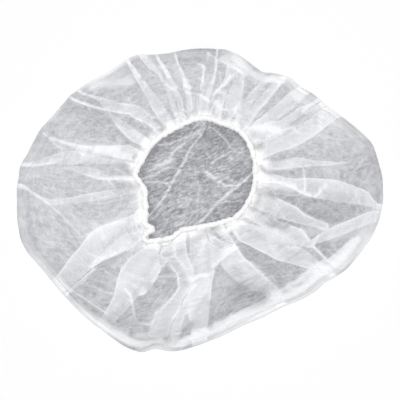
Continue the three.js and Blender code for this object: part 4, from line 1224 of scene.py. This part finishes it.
def fibre_web():
    """Node group: loose fibres lying mostly one way, thick here and thin there."""
    tree, given, result = new_group("fibre_web", "ShaderNodeTree", {
        "Vector": "Vector", "Fibre Width": "Float", "Fibre Length": "Float",
        "Direction": "Float", "Sharpness": "Float", "Cloud Size": "Float",
    }, {"Fibres": "Float", "Clouds": "Float", "Grain": "Float"})
    node = partial(add_node, tree)
    maths = partial(calculate, tree)

    stretch = node("ShaderNodeCombineXYZ", {
        "X": maths("DIVIDE", 1.0, given["Fibre Length"]), "Y": maths("DIVIDE", 1.0, given["Fibre Width"])})
    threads = []
    for turn, weight in ((0.0, 1.0), (0.55, 0.8), (-0.7, 0.7), (1.5, 0.45)):
        turned = node("ShaderNodeVectorRotate", {
            "Vector": given["Vector"], "Angle": maths("ADD", given["Direction"], turn),
        }, rotation_type="Z_AXIS")
        stretched = node("ShaderNodeVectorMath", {0: turned.outputs[0], 1: stretch.outputs[0]},
                         operation="MULTIPLY")
        noise = node("ShaderNodeTexNoise", {
            "Vector": stretched.outputs[0], "Scale": 0.5, "Detail": 2.0, "Distortion": 0.4,
        }, noise_dimensions="2D").outputs[0]
        if not threads:
            plug(tree, noise, result["Grain"])
        off_ridge = maths("MULTIPLY", maths("ABSOLUTE", maths("SUBTRACT", noise, 0.5)), given["Sharpness"])
        threads.append((maths("MAXIMUM", maths("SUBTRACT", 1.0, off_ridge), 0.0), weight))
    plug(tree, maths("MULTIPLY", weigh(tree, *threads), 0.55), result["Fibres"])
    clouds = node("ShaderNodeTexNoise", {
        "Vector": given["Vector"], "Scale": maths("DIVIDE", 1.0, given["Cloud Size"]),
        "Detail": 5.0, "Roughness": 0.65,
    }, noise_dimensions="2D")
    plug(tree, clouds.outputs[0], result["Clouds"])
    return tree


def cloth_material():
    """Sheer nonwoven cloth: it lets the crown show through, and is whiter where it lies double."""
    material, tree, shader = new_material("nonwoven_cloth", roughness=0.85, gloss=0.2)
    maths = partial(calculate, tree)
    tint = partial(mix, tree, "RGBA")
    web = partial(add_node, tree, "ShaderNodeGroup", node_tree=fibre_web())
    cut = add_node(tree, "ShaderNodeUVMap", uv_map="cut").outputs[0]
    layer, thick, shade, bare, tone = (
        add_node(tree, "ShaderNodeAttribute", attribute_name=name).outputs["Fac"]
        for name in ("layer", "thick", "shade", "bare", "tone"))

    fibres = web({
        "Vector": cut, "Fibre Width": 0.0009, "Fibre Length": 0.008, "Direction": 0.9,
        "Sharpness": 9.0, "Cloud Size": 0.004}).outputs
    crumples = web({
        "Vector": cut, "Fibre Width": 0.007, "Fibre Length": 0.035, "Direction": -0.9,
        "Sharpness": 16.0, "Cloud Size": 0.02}).outputs
    grain = web({
        "Vector": cut, "Fibre Width": 0.0011, "Fibre Length": 0.003, "Direction": -0.45,
        "Sharpness": 9.0, "Cloud Size": 0.006}).outputs["Grain"]
    density = weigh(tree, (fibres["Fibres"], 0.4), (fibres["Clouds"], 0.4), (crumples["Clouds"], 0.3))
    pressed = remap(tree, crumples["Fibres"], 0.15, 0.75, 0.0, 0.55)

    # The crown: darker, mottled, lighter where the border's edge or a crease is
    mottle = maths("ADD", remap(tree, grain, 0.2, 0.8, -0.3, 0.3), remap(tree, density, 0.2, 0.8, -0.2, 0.2))
    mottle = maths("MULTIPLY", mottle, remap(tree, bare, 0.0, 1.0, 0.78, 1.05))
    lightness = weigh(tree, (mottle, 1), (tone, 1), (pressed, 0.3), (thick, 0.9), (shade, -0.22))
    crown = tint(lightness, CROWN_DARK, CROWN_LIGHT)

    # The border: white where it lies double or is gathered, grey in a fold's shade
    border = tint(maths("MAXIMUM", thick, pressed), SINGLE_CLOTH, DOUBLE_CLOTH)
    border = tint(tone, border, GATHERED_CLOTH)
    border = tint(shade, border, SHADED_CLOTH)
    plug(tree, tint(layer, crown, border), shader.inputs["Base Color"])

    # Only the border lets through what lies under it
    single = weigh(tree, (remap(tree, density, 0.25, 0.8, 0.08, 0.24), 1), (pressed, 0.2))
    opaque = mix(tree, "FLOAT", thick, single, OPAQUE_CLOTH)
    plug(tree, mix(tree, "FLOAT", layer, 1.0, opaque), shader.inputs["Alpha"])

    bump = add_node(tree, "ShaderNodeBump", {
        "Strength": 0.5, "Distance": 0.0008, "Height": maths("ADD", density, pressed)})
    plug(tree, bump.outputs[0], shader.inputs["Normal"])
    return material


def hem_material():
    """The same cloth rolled so thick that nothing shows through."""
    return new_material("hem_cloth", 0.9, 0.2, HEM_WHITE)[0]


def floor_material():
    return new_material("pale_floor", 0.9, 0.1, FLOOR_WHITE)[0]


# ---------------------------------------------------------------- studio

def make_floor():
    corners = [(x * FLOOR_HALF, y * FLOOR_HALF, 0) for x, y in ((-1, -1), (1, -1), (1, 1), (-1, 1))]
    mesh = bpy.data.meshes.new("floor")
    mesh.from_pydata(corners, [], [(0, 1, 2, 3)])
    mesh.materials.append(floor_material())
    put_in_scene("floor", mesh)


def make_lights():
    world = bpy.data.worlds.new("studio")
    bpy.context.scene.world = world
    world.use_nodes = True
    sky = world.node_tree.nodes["Background"]
    sky.inputs["Color"].default_value = (1, 1, 1, 1)
    sky.inputs["Strength"].default_value = SKY_STRENGTH
    for name, strength, angle, towards in LAMPS:
        lamp = bpy.data.lights.new(name, "SUN")
        lamp.energy = strength
        lamp.angle = math.radians(angle)
        lamp.cycles.use_multiple_importance_sampling = False
        put_in_scene(name, lamp).rotation_euler = Vector(towards).to_track_quat("-Z", "Y").to_euler()


def make_camera():
    elevation = math.radians(CAMERA_ELEVATION)
    back = Vector((0, -math.cos(elevation), math.sin(elevation)))
    lens = bpy.data.cameras.new("camera")
    lens.lens = LENS
    lens.sensor_width = SENSOR
    thing = put_in_scene("camera", lens)
    thing.location = back * CAMERA_DISTANCE
    thing.rotation_euler = (-back).to_track_quat("-Z", "Y").to_euler()
    bpy.context.scene.camera = thing


def main():
    make_camera()
    make_lights()
    make_floor()
    bonnet = make_bonnet()
    bonnet.data.materials.append(cloth_material())
    hem = make_hem(hem_material())
    bonnet.visible_shadow = False
    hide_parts("bonnet")
    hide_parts("elastic_hem")
    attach(bonnet, "root")
    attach(hem, "root")
    scene = bpy.context.scene
    scene.view_settings.view_transform = "Standard"
    scene.cycles.transparent_max_bounces = TRANSPARENT_BOUNCES


main()
